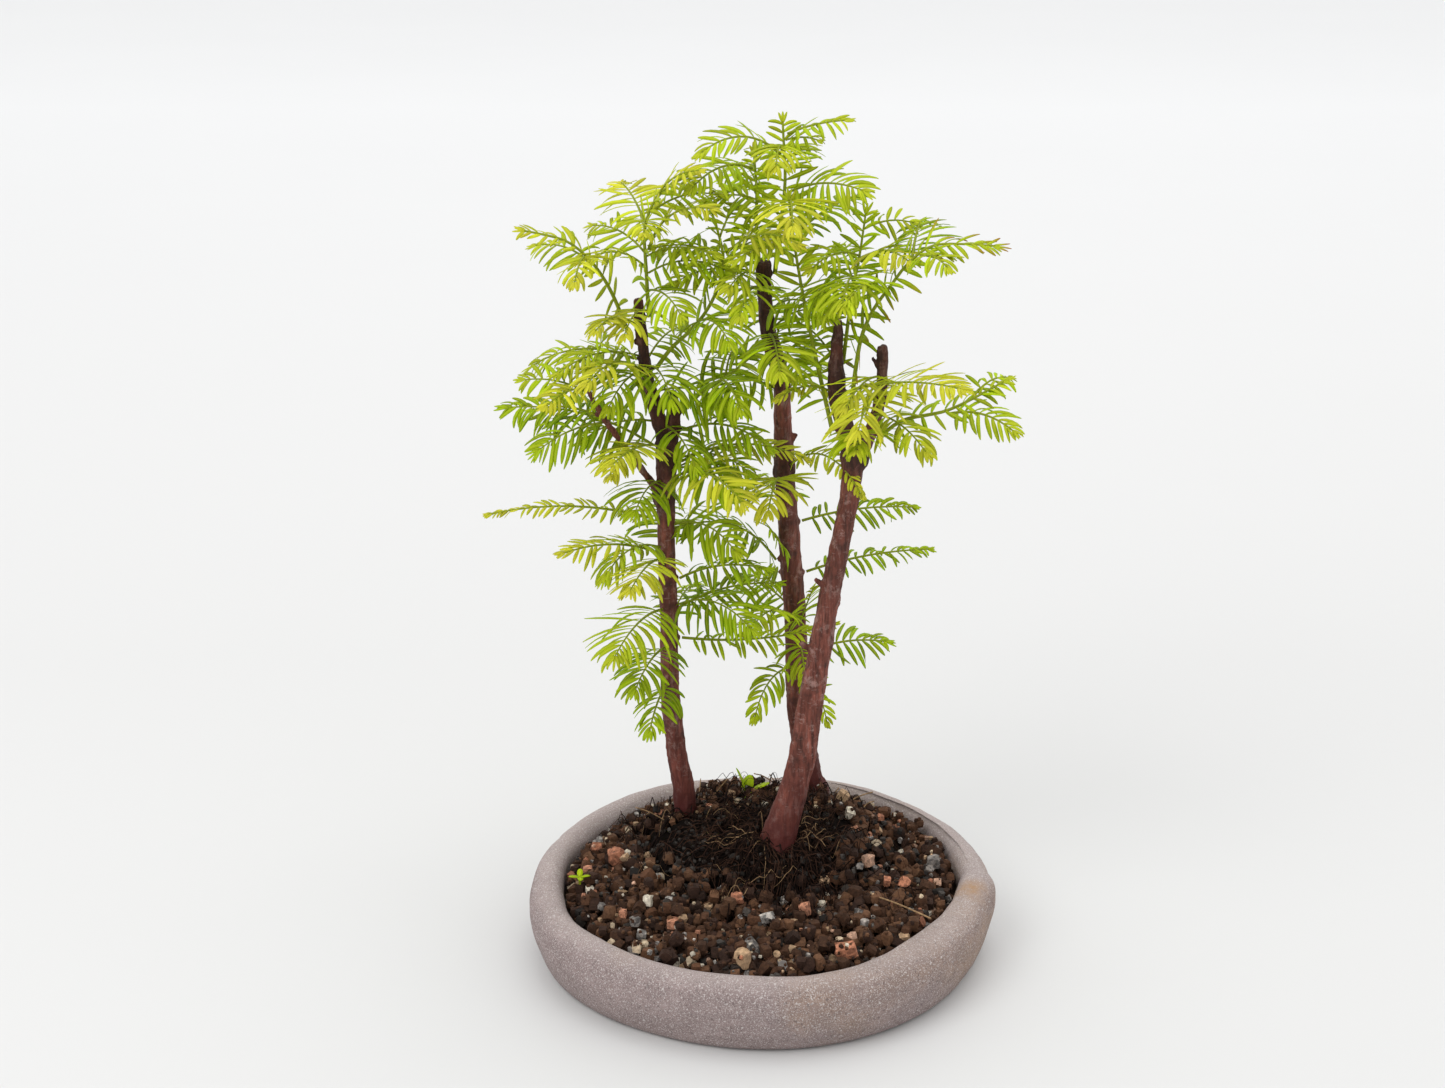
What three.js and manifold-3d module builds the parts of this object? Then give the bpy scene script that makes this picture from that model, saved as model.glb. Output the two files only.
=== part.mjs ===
// A small forest of three dawn redwoods (Metasequoia) in a round, shallow, hand-built stoneware dish.
//
// Millimetres, +Z up. The origin is the centre of the dish's flat base, and the front of the planting
// faces -Y. Every trunk is one grown solid with its forks, stubs and spray pegs. A soft shoot is a thin
// stem, and a spray is a thin blade, as wide as its two ranks of leaflets lie close together. Touching
// pieces keep a gap, so that each mesh stays a closed body of its own.
import * as THREE from 'three';
import { mergeVertices } from 'three/addons/utils/BufferGeometryUtils.js';
import Module from 'manifold-3d';

const wasm = await Module();
wasm.setup();

// ---------------------------------------------------------------- driving dimensions
const GAP = 0.35;
const UP = new THREE.Vector3(0, 0, 1);

const DISH = {
  rimRadius: 87.5, // widest circle of the wall
  baseRadius: 79.5,
  innerRadius: 74.5,
  rimHeight: 30,
  rimTilt: 2.3, // the back of the rim stands higher than the front by twice this
  floorThickness: 7,
  sides: 48,
  hole: { radius: 7, offset: 33 },
};

const MESH_STRIP = { length: 92, width: 22, thickness: 0.8 };

const SOIL = { edgeHeight: 24.5, centreHeight: 30, bank: 3.5 };

const ROOT_BALL = { x: 2, y: 24, bottom: 15, height: 30, halfX: 54, halfY: 46 };

const STEM_SIDES = { trunk: 10, twig: 6 };

const PEG = { radius: 1.2, sides: 6, rings: 4 };

const SPRAY = {
  stations: [0, 0.04, 0.2, 0.36, 0.52, 0.68, 0.8, 0.9, 1],
  outline: [0, 0.2, 0.75, 0.95, 1, 0.92, 0.75, 0.5, 0],
  closeShare: 0.68, // share of the leaflets' full span that the blade takes
  halfThickness: 0.55,
};

const SHOOT = {
  stations: [0, 0.04, 0.16, 0.28, 0.4, 0.52, 0.64, 0.76, 0.9, 1],
  outline: [0, 0.95, 1, 1, 0.95, 0.9, 0.85, 0.75, 0.55, 0],
  halfWidth: 1.25,
  halfThickness: 0.8,
};

const FACE_UP = 1.25; // the upper half of a blade or shoot is this much fuller than its lower half

// ---------------------------------------------------------------- materials
const COLOURS = {
  stoneware: { color: 0x988781, roughness: 0.9 },
  meshPlastic: { color: 0x1c1c1c, roughness: 0.6 },
  soil: { color: 0x4a3324, roughness: 1 },
  peat: { color: 0x1f1612, roughness: 1 },
  bark: { color: 0x6f4136, roughness: 0.85 },
  greenStem: { color: 0x9aa04a, roughness: 0.7 },
  matureLeaf: { color: 0x6fa31e, roughness: 0.6 },
  freshLeaf: { color: 0x95bd1f, roughness: 0.6 },
  youngLeaf: { color: 0xc6c22f, roughness: 0.6 },
  weed: { color: 0x5fa32a, roughness: 0.6 },
};

const materials = Object.fromEntries(
  Object.entries(COLOURS).map(([name, look]) => [
    name,
    new THREE.MeshStandardMaterial({ metalness: 0, ...look }),
  ]),
);

// ---------------------------------------------------------------- solids
/** Keeps only positions and merges shared corners, so that a closed shape has closed faces. */
function welded(geometry) {
  geometry.deleteAttribute('normal');
  geometry.deleteAttribute('uv');
  return mergeVertices(geometry, 1e-4);
}

function toSolid(geometry) {
  const closed = welded(geometry);
  return new wasm.Manifold(
    new wasm.Mesh({
      numProp: 3,
      vertProperties: new Float32Array(closed.attributes.position.array),
      triVerts: new Uint32Array(closed.index.array),
    }),
  );
}

function toGeometry(solid) {
  const mesh = solid.getMesh();
  const geometry = new THREE.BufferGeometry();
  geometry.setAttribute('position', new THREE.BufferAttribute(mesh.vertProperties, 3));
  geometry.setIndex(new THREE.BufferAttribute(mesh.triVerts, 1));
  geometry.computeVertexNormals();
  return geometry;
}

/** Moves every corner of a geometry to the place that a function gives for it. */
function reshape(geometry, place) {
  const position = geometry.attributes.position;
  const corner = new THREE.Vector3();
  for (let i = 0; i < position.count; i += 1) {
    corner.fromBufferAttribute(position, i);
    const moved = place(corner.clone());
    position.setXYZ(i, moved.x, moved.y, moved.z);
  }
  return geometry;
}

/** A value of a list read at a share from 0 to 1 of its length, with straight steps in between. */
function valueAt(list, share) {
  const place = THREE.MathUtils.clamp(share, 0, 1) * (list.length - 1);
  const low = Math.min(Math.floor(place), list.length - 2);
  return THREE.MathUtils.lerp(list[low], list[low + 1], place - low);
}

// ---------------------------------------------------------------- stems
/** A stem's centreline and radius, by share of its length. Each point is [x, y, z, radius], foot first. */
function stem(points) {
  const curve = new THREE.CatmullRomCurve3(
    points.map(([x, y, z]) => new THREE.Vector3(x, y, z)),
    false,
    'centripetal',
  );
  const radii = points.map((point) => point[3]);
  return {
    at: (share) => curve.getPointAt(share),
    tangent: (share) => curve.getTangentAt(share),
    radius: (share) => valueAt(radii, curve.getUtoTmapping(share)),
  };
}

/** A stem as a closed solid with shallow ridges, fatter all round by grow. */
function stemSolid({ at, tangent, radius }, { grow = 0, sides = STEM_SIDES.twig, steps = 4, ridges = 0.05 } = {}) {
  const tube = new THREE.CylinderGeometry(1, 1, 1, sides, steps);
  const side = new THREE.Vector3();
  const front = new THREE.Vector3();
  const place = (corner) => {
    const share = corner.y + 0.5;
    const along = tangent(share);
    front.set(0, 1, 0).addScaledVector(along, -along.y).normalize();
    side.crossVectors(along, front);
    const turn = Math.atan2(corner.z, corner.x);
    const ridge = 1 + ridges * Math.sin(3 * turn + 9 * share) + 0.5 * ridges * Math.sin(5 * turn - 14 * share);
    const reach = Math.hypot(corner.x, corner.z) * (radius(share) * ridge + grow);
    const ends = (share < 0.001 ? -grow : 0) + (share > 0.999 ? grow : 0);
    return at(share)
      .addScaledVector(side, Math.cos(turn) * reach)
      .addScaledVector(front, Math.sin(turn) * reach)
      .addScaledVector(along, ends);
  };
  return toSolid(reshape(tube, place));
}

/** A swelling, such as the knot of a fork: a ball stretched along z. */
function knot([x, y, z], radius, grow, stretch = 1.3) {
  const ball = new THREE.SphereGeometry(radius + grow, 10, 6);
  ball.rotateX(Math.PI / 2);
  ball.scale(1, 1, stretch);
  ball.translate(x, y, z);
  return toSolid(ball);
}

/** Unit direction of a bearing (0 is +X, 90 is +Y, the back) and a rise over the horizon, in degrees. */
function heading(bearing, rise) {
  const turn = THREE.MathUtils.degToRad(bearing);
  const lift = THREE.MathUtils.degToRad(rise);
  return new THREE.Vector3(
    Math.cos(turn) * Math.cos(lift),
    Math.sin(turn) * Math.cos(lift),
    Math.sin(lift),
  );
}

/** The point on a stem's skin that faces a direction, raised off it by clear. */
function skinPoint(parent, share, direction, clear) {
  const tangent = parent.tangent(share);
  const outward = direction.clone().addScaledVector(tangent, -direction.dot(tangent)).normalize();
  return parent.at(share).addScaledVector(outward, parent.radius(share) + clear);
}

/** The peg on the bark that a spray grows from. */
function peg(parent, share, direction) {
  const ball = new THREE.SphereGeometry(PEG.radius, PEG.sides, PEG.rings);
  const centre = skinPoint(parent, share, direction, 0);
  ball.translate(centre.x, centre.y, centre.z);
  return toSolid(ball);
}

// ---------------------------------------------------------------- blades
/**
 * A closed blade along a spine. Its rings stand square to the straight line from foot to tip, each with
 * four corners: both edges, the upper face and the lower face.
 */
function blade({ spine, roll, halfWidth, halfThickness, stations, outline }) {
  const foot = spine(0);
  const forward = spine(1).sub(foot).normalize();
  const level = forward.clone().cross(UP);
  const side = (level.lengthSq() > 0.01 ? level : new THREE.Vector3(1, 0, 0)).normalize();
  side.applyAxisAngle(forward, THREE.MathUtils.degToRad(roll));
  const face = side.clone().cross(forward).normalize();
  side.copy(forward).cross(face).normalize();
  const rings = stations.length - 1;
  const ball = new THREE.SphereGeometry(1, 4, rings);
  const place = (corner) => {
    const ring = Math.round((Math.acos(THREE.MathUtils.clamp(-corner.y, -1, 1)) / Math.PI) * rings);
    const across = Math.hypot(corner.x, corner.z);
    const middle = spine(stations[ring]);
    if (across < 1e-6) return middle;
    const reach = outline[ring] / across;
    const lift = corner.z > 0 ? FACE_UP : 1;
    const thick = Math.max(outline[ring], 0.5) / across;
    return middle
      .addScaledVector(side, corner.x * reach * halfWidth)
      .addScaledVector(face, corner.z * thick * halfThickness * lift);
  };
  return toSolid(reshape(ball, place));
}

// ---------------------------------------------------------------- the dish
/** 1 at one place on the wall's circle, fading to both sides of it. */
function near(turn, middle, width) {
  return Math.exp(-(((turn - middle) / width) ** 2));
}

/** How far the hand-built wall strays from a true circle, as a share of its radius. */
function waver(turn) {
  const flats = 0.012 * near(turn, -2.25, 0.45) + 0.014 * near(turn, -0.35, 0.3); // front left, right
  const bulge = 0.028 * near(turn, 1.05, 0.5); // back right
  return 1 + 0.006 * Math.sin(2 * turn + 0.8) + 0.005 * Math.sin(5 * turn + 2) - flats + bulge;
}

/** How far the rim's inner edge stands back, in mm: the rim is thin at the back right and wide at the front right. */
function rimStep(turn) {
  const thin = THREE.MathUtils.clamp(turn / 1.3, 0, 1);
  const wide = THREE.MathUtils.clamp(-turn / 1.4, 0, 1);
  return 3 * Math.sin(thin * Math.PI) - 4 * Math.sin(wide * Math.PI);
}

function rimLift(turn) {
  const back = Math.max(0, Math.sin(turn));
  return DISH.rimTilt * Math.sin(turn) + 1.2 * back + 0.5 * Math.sin(3 * turn + 1) + 0.35 * Math.sin(7 * turn);
}

/** Turns a profile of [radius, height] points round the z axis, and makes it waver as the dish does. */
function thrown(profile, place) {
  const lathe = new THREE.LatheGeometry(
    profile.map(([r, z]) => new THREE.Vector2(r, z)),
    DISH.sides,
  );
  lathe.rotateX(Math.PI / 2);
  reshape(lathe, (corner) => {
    const turn = Math.atan2(corner.y, corner.x);
    const { radius, z } = place(Math.hypot(corner.x, corner.y), corner.z, turn);
    return new THREE.Vector3(Math.cos(turn) * radius, Math.sin(turn) * radius, z);
  });
  return toSolid(lathe);
}

/** Heights above the floor rise and fall with the rim; the floor and the base stay flat. */
function wallPlace(radius, z, turn) {
  const share = THREE.MathUtils.clamp((z - DISH.floorThickness) / (DISH.rimHeight - DISH.floorThickness), 0, 1);
  const atInside = radius > DISH.innerRadius - 8 && radius < DISH.innerRadius + 4;
  const step = atInside ? rimStep(turn) * share : 0;
  return { radius: radius * waver(turn) + step, z: z + rimLift(turn) * share };
}

/** The soil follows the wall, and is banked up at the back. */
function soilPlace(radius, z, turn) {
  const place = wallPlace(radius, z, turn);
  const bank = z > SOIL.edgeHeight - 1 ? SOIL.bank * Math.max(0, Math.sin(turn)) * (radius / DISH.innerRadius) : 0;
  return { radius: place.radius, z: place.z + bank };
}

function makeDish() {
  const { rimRadius: outer, baseRadius: base, innerRadius: inner, rimHeight: top, floorThickness: floor } = DISH;
  const shell = thrown(
    [
      [0, 0],
      [base, 0],
      [base + 3, 2.5],
      [outer - 2, 9],
      [outer - 0.3, 15],
      [outer, 20],
      [outer - 1, 25],
      [outer - 4, 28.6],
      [outer - 8, top],
      [inner + 2.2, top - 1],
      [inner, top - 4.5],
      [inner, floor + 4],
      [inner - 4, floor],
      [0, floor],
    ],
    wallPlace,
  );
  return holes().reduce((dish, hole) => dish.subtract(hole), shell);
}

function holes() {
  return [-1, 1].map((sign) => {
    const drill = new THREE.CylinderGeometry(DISH.hole.radius, DISH.hole.radius, 4 * DISH.floorThickness, 20);
    drill.rotateX(Math.PI / 2);
    drill.translate(sign * DISH.hole.offset, 0, 0);
    return toSolid(drill);
  });
}

/** The strip of plastic mesh on the floor, over both drain holes. */
function meshStrip(grow = 0) {
  const { length, width, thickness } = MESH_STRIP;
  const strip = new THREE.BoxGeometry(length + 2 * grow, width + 2 * grow, thickness + 2 * grow);
  strip.translate(0, 0, DISH.floorThickness + GAP + thickness / 2);
  return toSolid(strip);
}

// ---------------------------------------------------------------- soil
function rootBall(grow = 0) {
  const ball = new THREE.SphereGeometry(1, 26, 10);
  ball.rotateX(Math.PI / 2);
  const { x, y, bottom, height, halfX, halfY } = ROOT_BALL;
  return toSolid(
    reshape(ball, (corner) => {
      const turn = Math.atan2(corner.y, corner.x);
      const lumps = 1 + 0.05 * Math.sin(3 * turn + 1) + 0.03 * Math.sin(7 * turn);
      const z = corner.z > 0 ? corner.z * height : corner.z * 4;
      return new THREE.Vector3(
        x + corner.x * lumps * (halfX + grow),
        y + corner.y * lumps * (halfY + grow),
        bottom + z + grow * corner.z,
      );
    }),
  );
}

function makeSoilBed() {
  const { innerRadius: inner, floorThickness: floor } = DISH;
  const { edgeHeight, centreHeight } = SOIL;
  const edge = inner - 2 * GAP;
  const bed = thrown(
    [
      [0, floor + GAP],
      [inner - 4 - GAP, floor + GAP],
      [edge, floor + 4 + GAP],
      [edge, edgeHeight],
      [0.72 * edge, edgeHeight + 2.5],
      [0.4 * edge, centreHeight - 1],
      [0, centreHeight],
    ],
    soilPlace,
  );
  return [meshStrip(GAP), rootBall(GAP), ...planted(GAP)].reduce((soil, hollow) => soil.subtract(hollow), bed);
}

function makeRootBall() {
  return planted(GAP).reduce((ball, hollow) => ball.subtract(hollow), rootBall());
}

// ---------------------------------------------------------------- trunks
const STEMS = {
  left: stem([
    [-28, 34, 26, 5.2],
    [-28.5, 33.5, 33, 4.7],
    [-29, 32.5, 47, 4.1],
    [-32, 31, 67, 3.9],
    [-34, 29, 88, 3.6],
    [-34.5, 28, 111, 3.4],
    [-35, 27, 135, 3.4],
    [-35.5, 27, 160, 3.2],
    [-35, 26, 181, 3.7],
    [-34.5, 26, 189, 3.9],
    [-36.5, 26, 196, 2.9],
    [-40, 25, 209, 2.4],
    [-42.5, 24, 223, 2.2],
    [-44, 23, 236, 2],
    [-44.5, 22, 246, 1.7],
  ]),
  leftStub: stem([
    [-34.5, 26, 186, 3],
    [-32.5, 25.5, 195, 2.4],
    [-32, 26, 204, 2],
    [-33, 26, 211, 1.7],
  ]),
  leftBranch: stem([
    [-36, 26.5, 170, 2],
    [-40, 24, 176, 1.4],
    [-46, 20, 186, 1.2],
    [-54, 15, 199, 1.1],
    [-59.5, 10, 209, 1.1],
    [-63.5, 6, 220, 0.8],
  ]),
  back: stem([
    [24, 53, 24, 6],
    [22, 52, 36, 5.4],
    [18.5, 50, 58, 4.9],
    [15.5, 48, 80, 4.7],
    [14.5, 46.5, 100, 4.4],
    [13.5, 45, 119, 4.2],
    [11.5, 43, 141, 4.2],
    [10, 41, 162, 3.8],
    [9, 39, 177, 3.9],
    [8, 37, 198, 3.3],
    [7, 34, 216, 3.1],
    [2.5, 32, 231, 2.9],
    [1, 31, 244, 2.7],
    [0.5, 30, 258, 2.4],
  ]),
  front: stem([
    [1, 1.5, 26, 8.6],
    [5, 2, 36, 7.3],
    [9, 3, 50, 6.2],
    [13, 4, 64, 5.3],
    [16, 5, 77, 5.1],
    [18, 6, 94, 4.7],
    [22, 7, 119, 4.3],
    [24, 8, 132, 3.9],
    [26.5, 9, 146, 3.9],
    [29, 10, 159, 3.7],
    [31.5, 11, 172, 3.6],
    [33, 12, 185, 4],
    [33.5, 12, 192, 4.2],
    [30, 13, 200, 3.1],
    [27.5, 14, 211, 3.2],
    [26.5, 15, 221, 3.1],
    [27, 16, 231, 2.2],
    [27, 16, 240, 1.6],
  ]),
  frontFork: stem([
    [33.5, 12, 188, 3.4],
    [38, 11, 197, 2.8],
    [41, 10, 206, 2.2],
    [42.5, 9, 216, 2],
    [43, 9, 223, 2],
    [42.5, 9, 232, 1.7],
  ]),
};

const KNOTS = {
  left: [[[-34.5, 26, 187], 4.7], [[-36.5, 26.5, 170], 3.9]],
  back: [[[9, 38, 177], 4.4], [[22, 51, 40], 6]],
  front: [[[33.5, 12, 190], 5.4], [[25, 8.5, 137], 4.3]],
};

/** Dead side stubs: the stem, the share along it, bearing, rise, length and radius. */
const STUBS = {
  left: [['left', 0.8, 20, 40, 7, 1]],
  back: [['back', 0.68, -10, 60, 9, 1.1], ['back', 0.46, 170, 30, 6, 1]],
  front: [
    ['front', 0.42, 190, 35, 9, 1.2],
    ['front', 0.53, 185, 45, 8, 1.1],
    ['front', 0.4, 10, 30, 6, 0.9],
    ['frontFork', 0.78, 170, 55, 7, 0.9],
  ],
};

function deadStub([parentName, share, bearing, rise, length, radius]) {
  const parent = STEMS[parentName];
  const start = parent.at(share);
  const end = start.clone().addScaledVector(heading(bearing, rise), length);
  const middle = start.clone().lerp(end, 0.5);
  const points = [start, middle, end].map((point, i) => [...point.toArray(), radius * (1.3 - 0.25 * i)]);
  return stemSolid(stem(points), { steps: 2 });
}

// ---------------------------------------------------------------- shoots and sprays
/** Soft shoots: the stem each grows from, the share along it, and its way from there to its tip. */
const SHOOTS = {
  shoot_left_leader: ['left', 0.97, 0, [[-41.5, 21, 256], [-41.5, 22, 274], [-35, 20, 286], [-26, 18, 291]]],
  shoot_left_outer: ['left', 0.93, 20, [[-55, 20, 251], [-62, 17, 262], [-70, 14, 269], [-84, 11, 273]]],
  shoot_left_inner: ['left', 0.88, -20, [[-33, 21, 228], [-23, 20, 238], [-16, 18, 251], [-14, 17, 263], [-18, 18, 278]]],
  shoot_left_stub: ['leftStub', 0.7, -25, [[-23, 24, 210], [-12, 22, 218], [-2, 20, 227]]],
  shoot_back_leader: ['back', 0.98, 0, [[6, 30, 268], [8, 30, 286], [7, 29, 308]]],
  shoot_back_second: ['back', 0.96, 0, [[-2, 36, 270], [-2, 39, 283], [-3, 40, 295]]],
  shoot_front_tall: ['front', 0.82, 0, [[17, 16, 236], [12, 17, 262], [9, 16, 283]]],
  shoot_front_mid: ['front', 0.93, 0, [[32, 23, 246], [35, 28, 261], [37, 31, 275]]],
  shoot_front_right: ['front', 0.86, -30, [[36, 10, 238], [44, 7, 253], [58, 3, 269], [80, -1, 270]]],
  shoot_fork_right: ['frontFork', 0.3, -20, [[50, 7, 205], [66, 3, 210], [86, 5, 220]]],
};

/**
 * Sprays, each as [stem, share along it, bearing, rise, length, leaflet span, arch, roll, leaf age].
 * The rise is that of the straight line from foot to tip, and the arch how far the middle bows above it.
 */
const SPRAYS = {
  low_long: ['left', 0.615, -175, 3, 61, 15, 4, 20, 'youngLeaf'],
  low_fan: ['left', 0.56, -155, 7, 36, 26, 3, 15, 'youngLeaf'],
  low_front: ['left', 0.55, -106, 1, 38, 34, 3, 0, 'youngLeaf'],
  cascade_top: ['left', 0.46, -115, -8, 39, 40, 4, -10, 'freshLeaf'],
  cascade_middle: ['left', 0.39, -108, -8, 33, 34, 3, 0, 'matureLeaf'],
  cascade_low: ['left', 0.32, -102, -14, 29, 26, 3, 0, 'matureLeaf'],
  right_upper: ['left', 0.51, -15, 12, 33, 25, 3, -15, 'matureLeaf'],
  right_middle: ['left', 0.455, 12, 10, 37, 27, 3, 0, 'matureLeaf'],
  right_long: ['left', 0.4, -5, 7, 57, 24, -3, -25, 'freshLeaf'],
  crown_left: ['left', 0.75, 170, 12, 56, 32, 5, 0, 'matureLeaf'],
  crown_fan: ['left', 0.75, -115, 5, 38, 28, 3, 0, 'youngLeaf'],
  upper_fan: ['left', 0.885, -120, 5, 35, 36, 5, 10, 'youngLeaf'],
  upper_left: ['left', 0.9, 172, -6, 38, 32, 5, 10, 'freshLeaf'],
  top_yellow: ['left', 0.96, -118, 8, 28, 24, 4, 10, 'youngLeaf'],
  yellow_face: ['left', 0.695, -55, 2, 43, 36, 6, 0, 'youngLeaf'],
  yellow_arch: ['left', 0.72, -12, 5, 46, 22, 6, -20, 'youngLeaf'],
  branch_spray: ['leftBranch', 0.74, 150, -4, 27, 24, 2, 0, 'matureLeaf'],
  stub_spray: ['leftStub', 0.45, -25, -4, 34, 28, 5, -10, 'matureLeaf'],
  leader_arch: ['shoot_left_leader', 0.42, -30, 33, 31, 24, 6, -20, 'youngLeaf'],
  leader_back: ['shoot_left_leader', 0.58, 107, 15, 33, 32, 2, 0, 'youngLeaf'],
  outer_face: ['shoot_left_outer', 0.58, -96, -3, 30, 24, 4, 0, 'youngLeaf'],
  inner_arch: ['shoot_left_inner', 0.78, -30, 12, 29, 24, 5, -10, 'youngLeaf'],
  leader_tip: ['shoot_back_leader', 0.93, -18, 15, 22, 20, 1, 0, 'freshLeaf'],
  leader_left: ['shoot_back_leader', 0.8, -155, 5, 31, 24, 6, 10, 'freshLeaf'],
  leader_right: ['shoot_back_leader', 0.55, -34, 7, 31, 32, 3, 0, 'freshLeaf'],
  second_left: ['shoot_back_second', 0.9, -135, -6, 30, 30, 4, 10, 'freshLeaf'],
  back_fan: ['back', 0.96, -105, -5, 31, 30, 5, 0, 'freshLeaf'],
  back_face: ['back', 0.89, -85, -8, 36, 36, 4, 0, 'freshLeaf'],
  back_dark: ['back', 0.5, -162, 22, 44, 38, 8, 15, 'matureLeaf'],
  back_front: ['back', 0.64, -100, 0, 35, 34, 6, 0, 'youngLeaf'],
  back_right_high: ['back', 0.56, 10, 4, 43, 20, 2, 0, 'matureLeaf'],
  back_right_middle: ['back', 0.47, 8, 8, 48, 18, 2, 0, 'matureLeaf'],
  back_right_low: ['back', 0.33, 8, 4, 29, 26, 2, -10, 'matureLeaf'],
  tall_face: ['shoot_front_tall', 0.97, -90, 0, 34, 36, 5, 0, 'youngLeaf'],
  tall_feather: ['shoot_front_tall', 0.85, 45, 16, 36, 22, 2, 0, 'matureLeaf'],
  mid_fan: ['shoot_front_mid', 0.68, -55, 10, 27, 28, 4, 0, 'youngLeaf'],
  mid_front: ['shoot_front_mid', 0.56, -100, -3, 35, 42, 4, 0, 'freshLeaf'],
  right_back: ['shoot_front_right', 0.66, 80, 15, 30, 32, 2, 0, 'matureLeaf'],
  fork_long: ['front', 0.88, -53, 13, 62, 34, 3, -10, 'youngLeaf'],
  fork_face: ['frontFork', 0.65, -105, -7, 36, 42, 4, 0, 'youngLeaf'],
  fork_low: ['frontFork', 0.28, -100, 8, 37, 34, 4, 0, 'freshLeaf'],
  fork_side: ['shoot_fork_right', 0.55, -32, -6, 25, 24, 3, -15, 'freshLeaf'],
};

/** The green shoots as stems, so that sprays can grow from them too. */
const shootSpines = {};
for (const [name, [parentName, share, , way]] of Object.entries(SHOOTS)) {
  const parent = STEMS[parentName];
  const toward = new THREE.Vector3(...way[0]).sub(parent.at(share));
  const foot = skinPoint(parent, share, toward, PEG.radius + GAP);
  shootSpines[name] = stem([foot.toArray(), ...way].map((point) => [...point.slice(0, 3), SHOOT.halfWidth]));
}

function parentOf(name) {
  return STEMS[name] ?? shootSpines[name];
}

/** The pegs of everything that grows from the bark of the named stems. */
function pegsOn(stemNames) {
  const onBark = (name) => stemNames.includes(name);
  const ofShoots = Object.values(SHOOTS)
    .filter(([name]) => onBark(name))
    .map(([name, share, , way]) => peg(STEMS[name], share, new THREE.Vector3(...way[0]).sub(STEMS[name].at(share))));
  const ofSprays = Object.values(SPRAYS)
    .filter(([name]) => onBark(name))
    .map(([name, share, bearing, rise]) => peg(STEMS[name], share, heading(bearing, rise)));
  return [...ofShoots, ...ofSprays];
}

const TREES = { left: ['left', 'leftStub', 'leftBranch'], back: ['back'], front: ['front', 'frontFork'] };

/** The stems and knots of one tree, without its stubs and pegs. */
function bareTrunk(treeName, grow = 0) {
  const stems = TREES[treeName].map((name) => {
    const detail = name === 'leftBranch' ? { steps: 6 } : { sides: STEM_SIDES.trunk, steps: name === treeName ? 26 : 6 };
    return stemSolid(STEMS[name], { grow, ...detail });
  });
  const knots = KNOTS[treeName].map(([centre, radius]) => knot(centre, radius, grow));
  return [...stems, ...knots].reduce((whole, piece) => whole.add(piece));
}

function makeTrunk(treeName) {
  const small = [...STUBS[treeName].map(deadStub), ...pegsOn(TREES[treeName])];
  return small.reduce((whole, piece) => whole.add(piece), bareTrunk(treeName));
}

function makeSpray([parentName, share, bearing, rise, length, span, arch, roll]) {
  const parent = parentOf(parentName);
  const forward = heading(bearing, rise);
  const clear = (STEMS[parentName] ? PEG.radius : 0) + GAP;
  const foot = skinPoint(parent, share, forward, clear);
  const over = UP.clone().addScaledVector(forward, -forward.z).normalize();
  const spine = (along) =>
    foot
      .clone()
      .addScaledVector(forward, along * length)
      .addScaledVector(over, 4 * arch * along * (1 - along));
  return blade({ ...SPRAY, spine, roll, halfWidth: (SPRAY.closeShare * span) / 2 });
}

// ---------------------------------------------------------------- the weed seedling
const SEEDLING_STALK = stem([[-7, 49, 34, 0.8], [-6.5, 48.5, 41, 0.7], [-6, 48, 46, 0.6]]);

/** A weed seedling: a thin stalk with two pairs of oval leaves, as one grown solid. */
function makeSeedling() {
  const base = SEEDLING_STALK.at(0.93);
  const leaves = [
    [190, 50, 8],
    [-20, 35, 9],
    [100, 55, 8],
    [-75, 20, 8],
  ].map(([bearing, rise, length]) => {
    const forward = heading(bearing, rise);
    const spine = (along) => base.clone().addScaledVector(forward, along * length);
    return blade({ ...SPRAY, spine, roll: 0, halfWidth: 2.2 });
  });
  return leaves.reduce((whole, leaf) => whole.add(leaf), stemSolid(SEEDLING_STALK));
}

/** Everything that stands in the root ball, fatter by grow. */
function planted(grow) {
  const trunks = Object.keys(TREES).map((treeName) => bareTrunk(treeName, grow));
  return [...trunks, stemSolid(SEEDLING_STALK, { grow })];
}

// ---------------------------------------------------------------- the whole planting
const planting = new THREE.Group();
planting.name = 'forest_bonsai';

function addPiece(name, solid, material) {
  const mesh = new THREE.Mesh(toGeometry(solid), material);
  mesh.name = name;
  planting.add(mesh);
}

addPiece('dish', makeDish(), materials.stoneware);
addPiece('drain_mesh', meshStrip(), materials.meshPlastic);
addPiece('soil_bed', makeSoilBed(), materials.soil);
addPiece('root_ball', makeRootBall(), materials.peat);
Object.keys(TREES).forEach((treeName) => addPiece(`trunk_${treeName}`, makeTrunk(treeName), materials.bark));
addPiece('weed_seedling', makeSeedling(), materials.weed);

for (const [name, [, , roll]] of Object.entries(SHOOTS)) {
  addPiece(name, blade({ ...SHOOT, spine: shootSpines[name].at, roll }), materials.greenStem);
}
for (const [name, spray] of Object.entries(SPRAYS)) {
  addPiece(`spray_${name}`, makeSpray(spray), materials[spray.at(-1)]);
}

export default planting;
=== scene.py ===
"""A small forest of three young dawn redwoods in a round stoneware dish.

The packed model gives the place and size of every trunk, shoot and spray. Each spray and soft shoot
here grows along the spine of its CAD blade, small tufts fill the gaps between them, and the trunks, the
dish and the soil are finer shapes over their CAD solids. Lengths are in metres unless a comment says
otherwise, and the front of the planting faces -Y.
"""

import math
import random
from itertools import combinations

import bmesh
import bpy
import numpy as np
from bpy.props import FloatProperty, FloatVectorProperty, IntProperty, PointerProperty
from mathutils import Matrix, Vector, noise
from mathutils.bvhtree import BVHTree
from mathutils.geometry import interpolate_bezier


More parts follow.
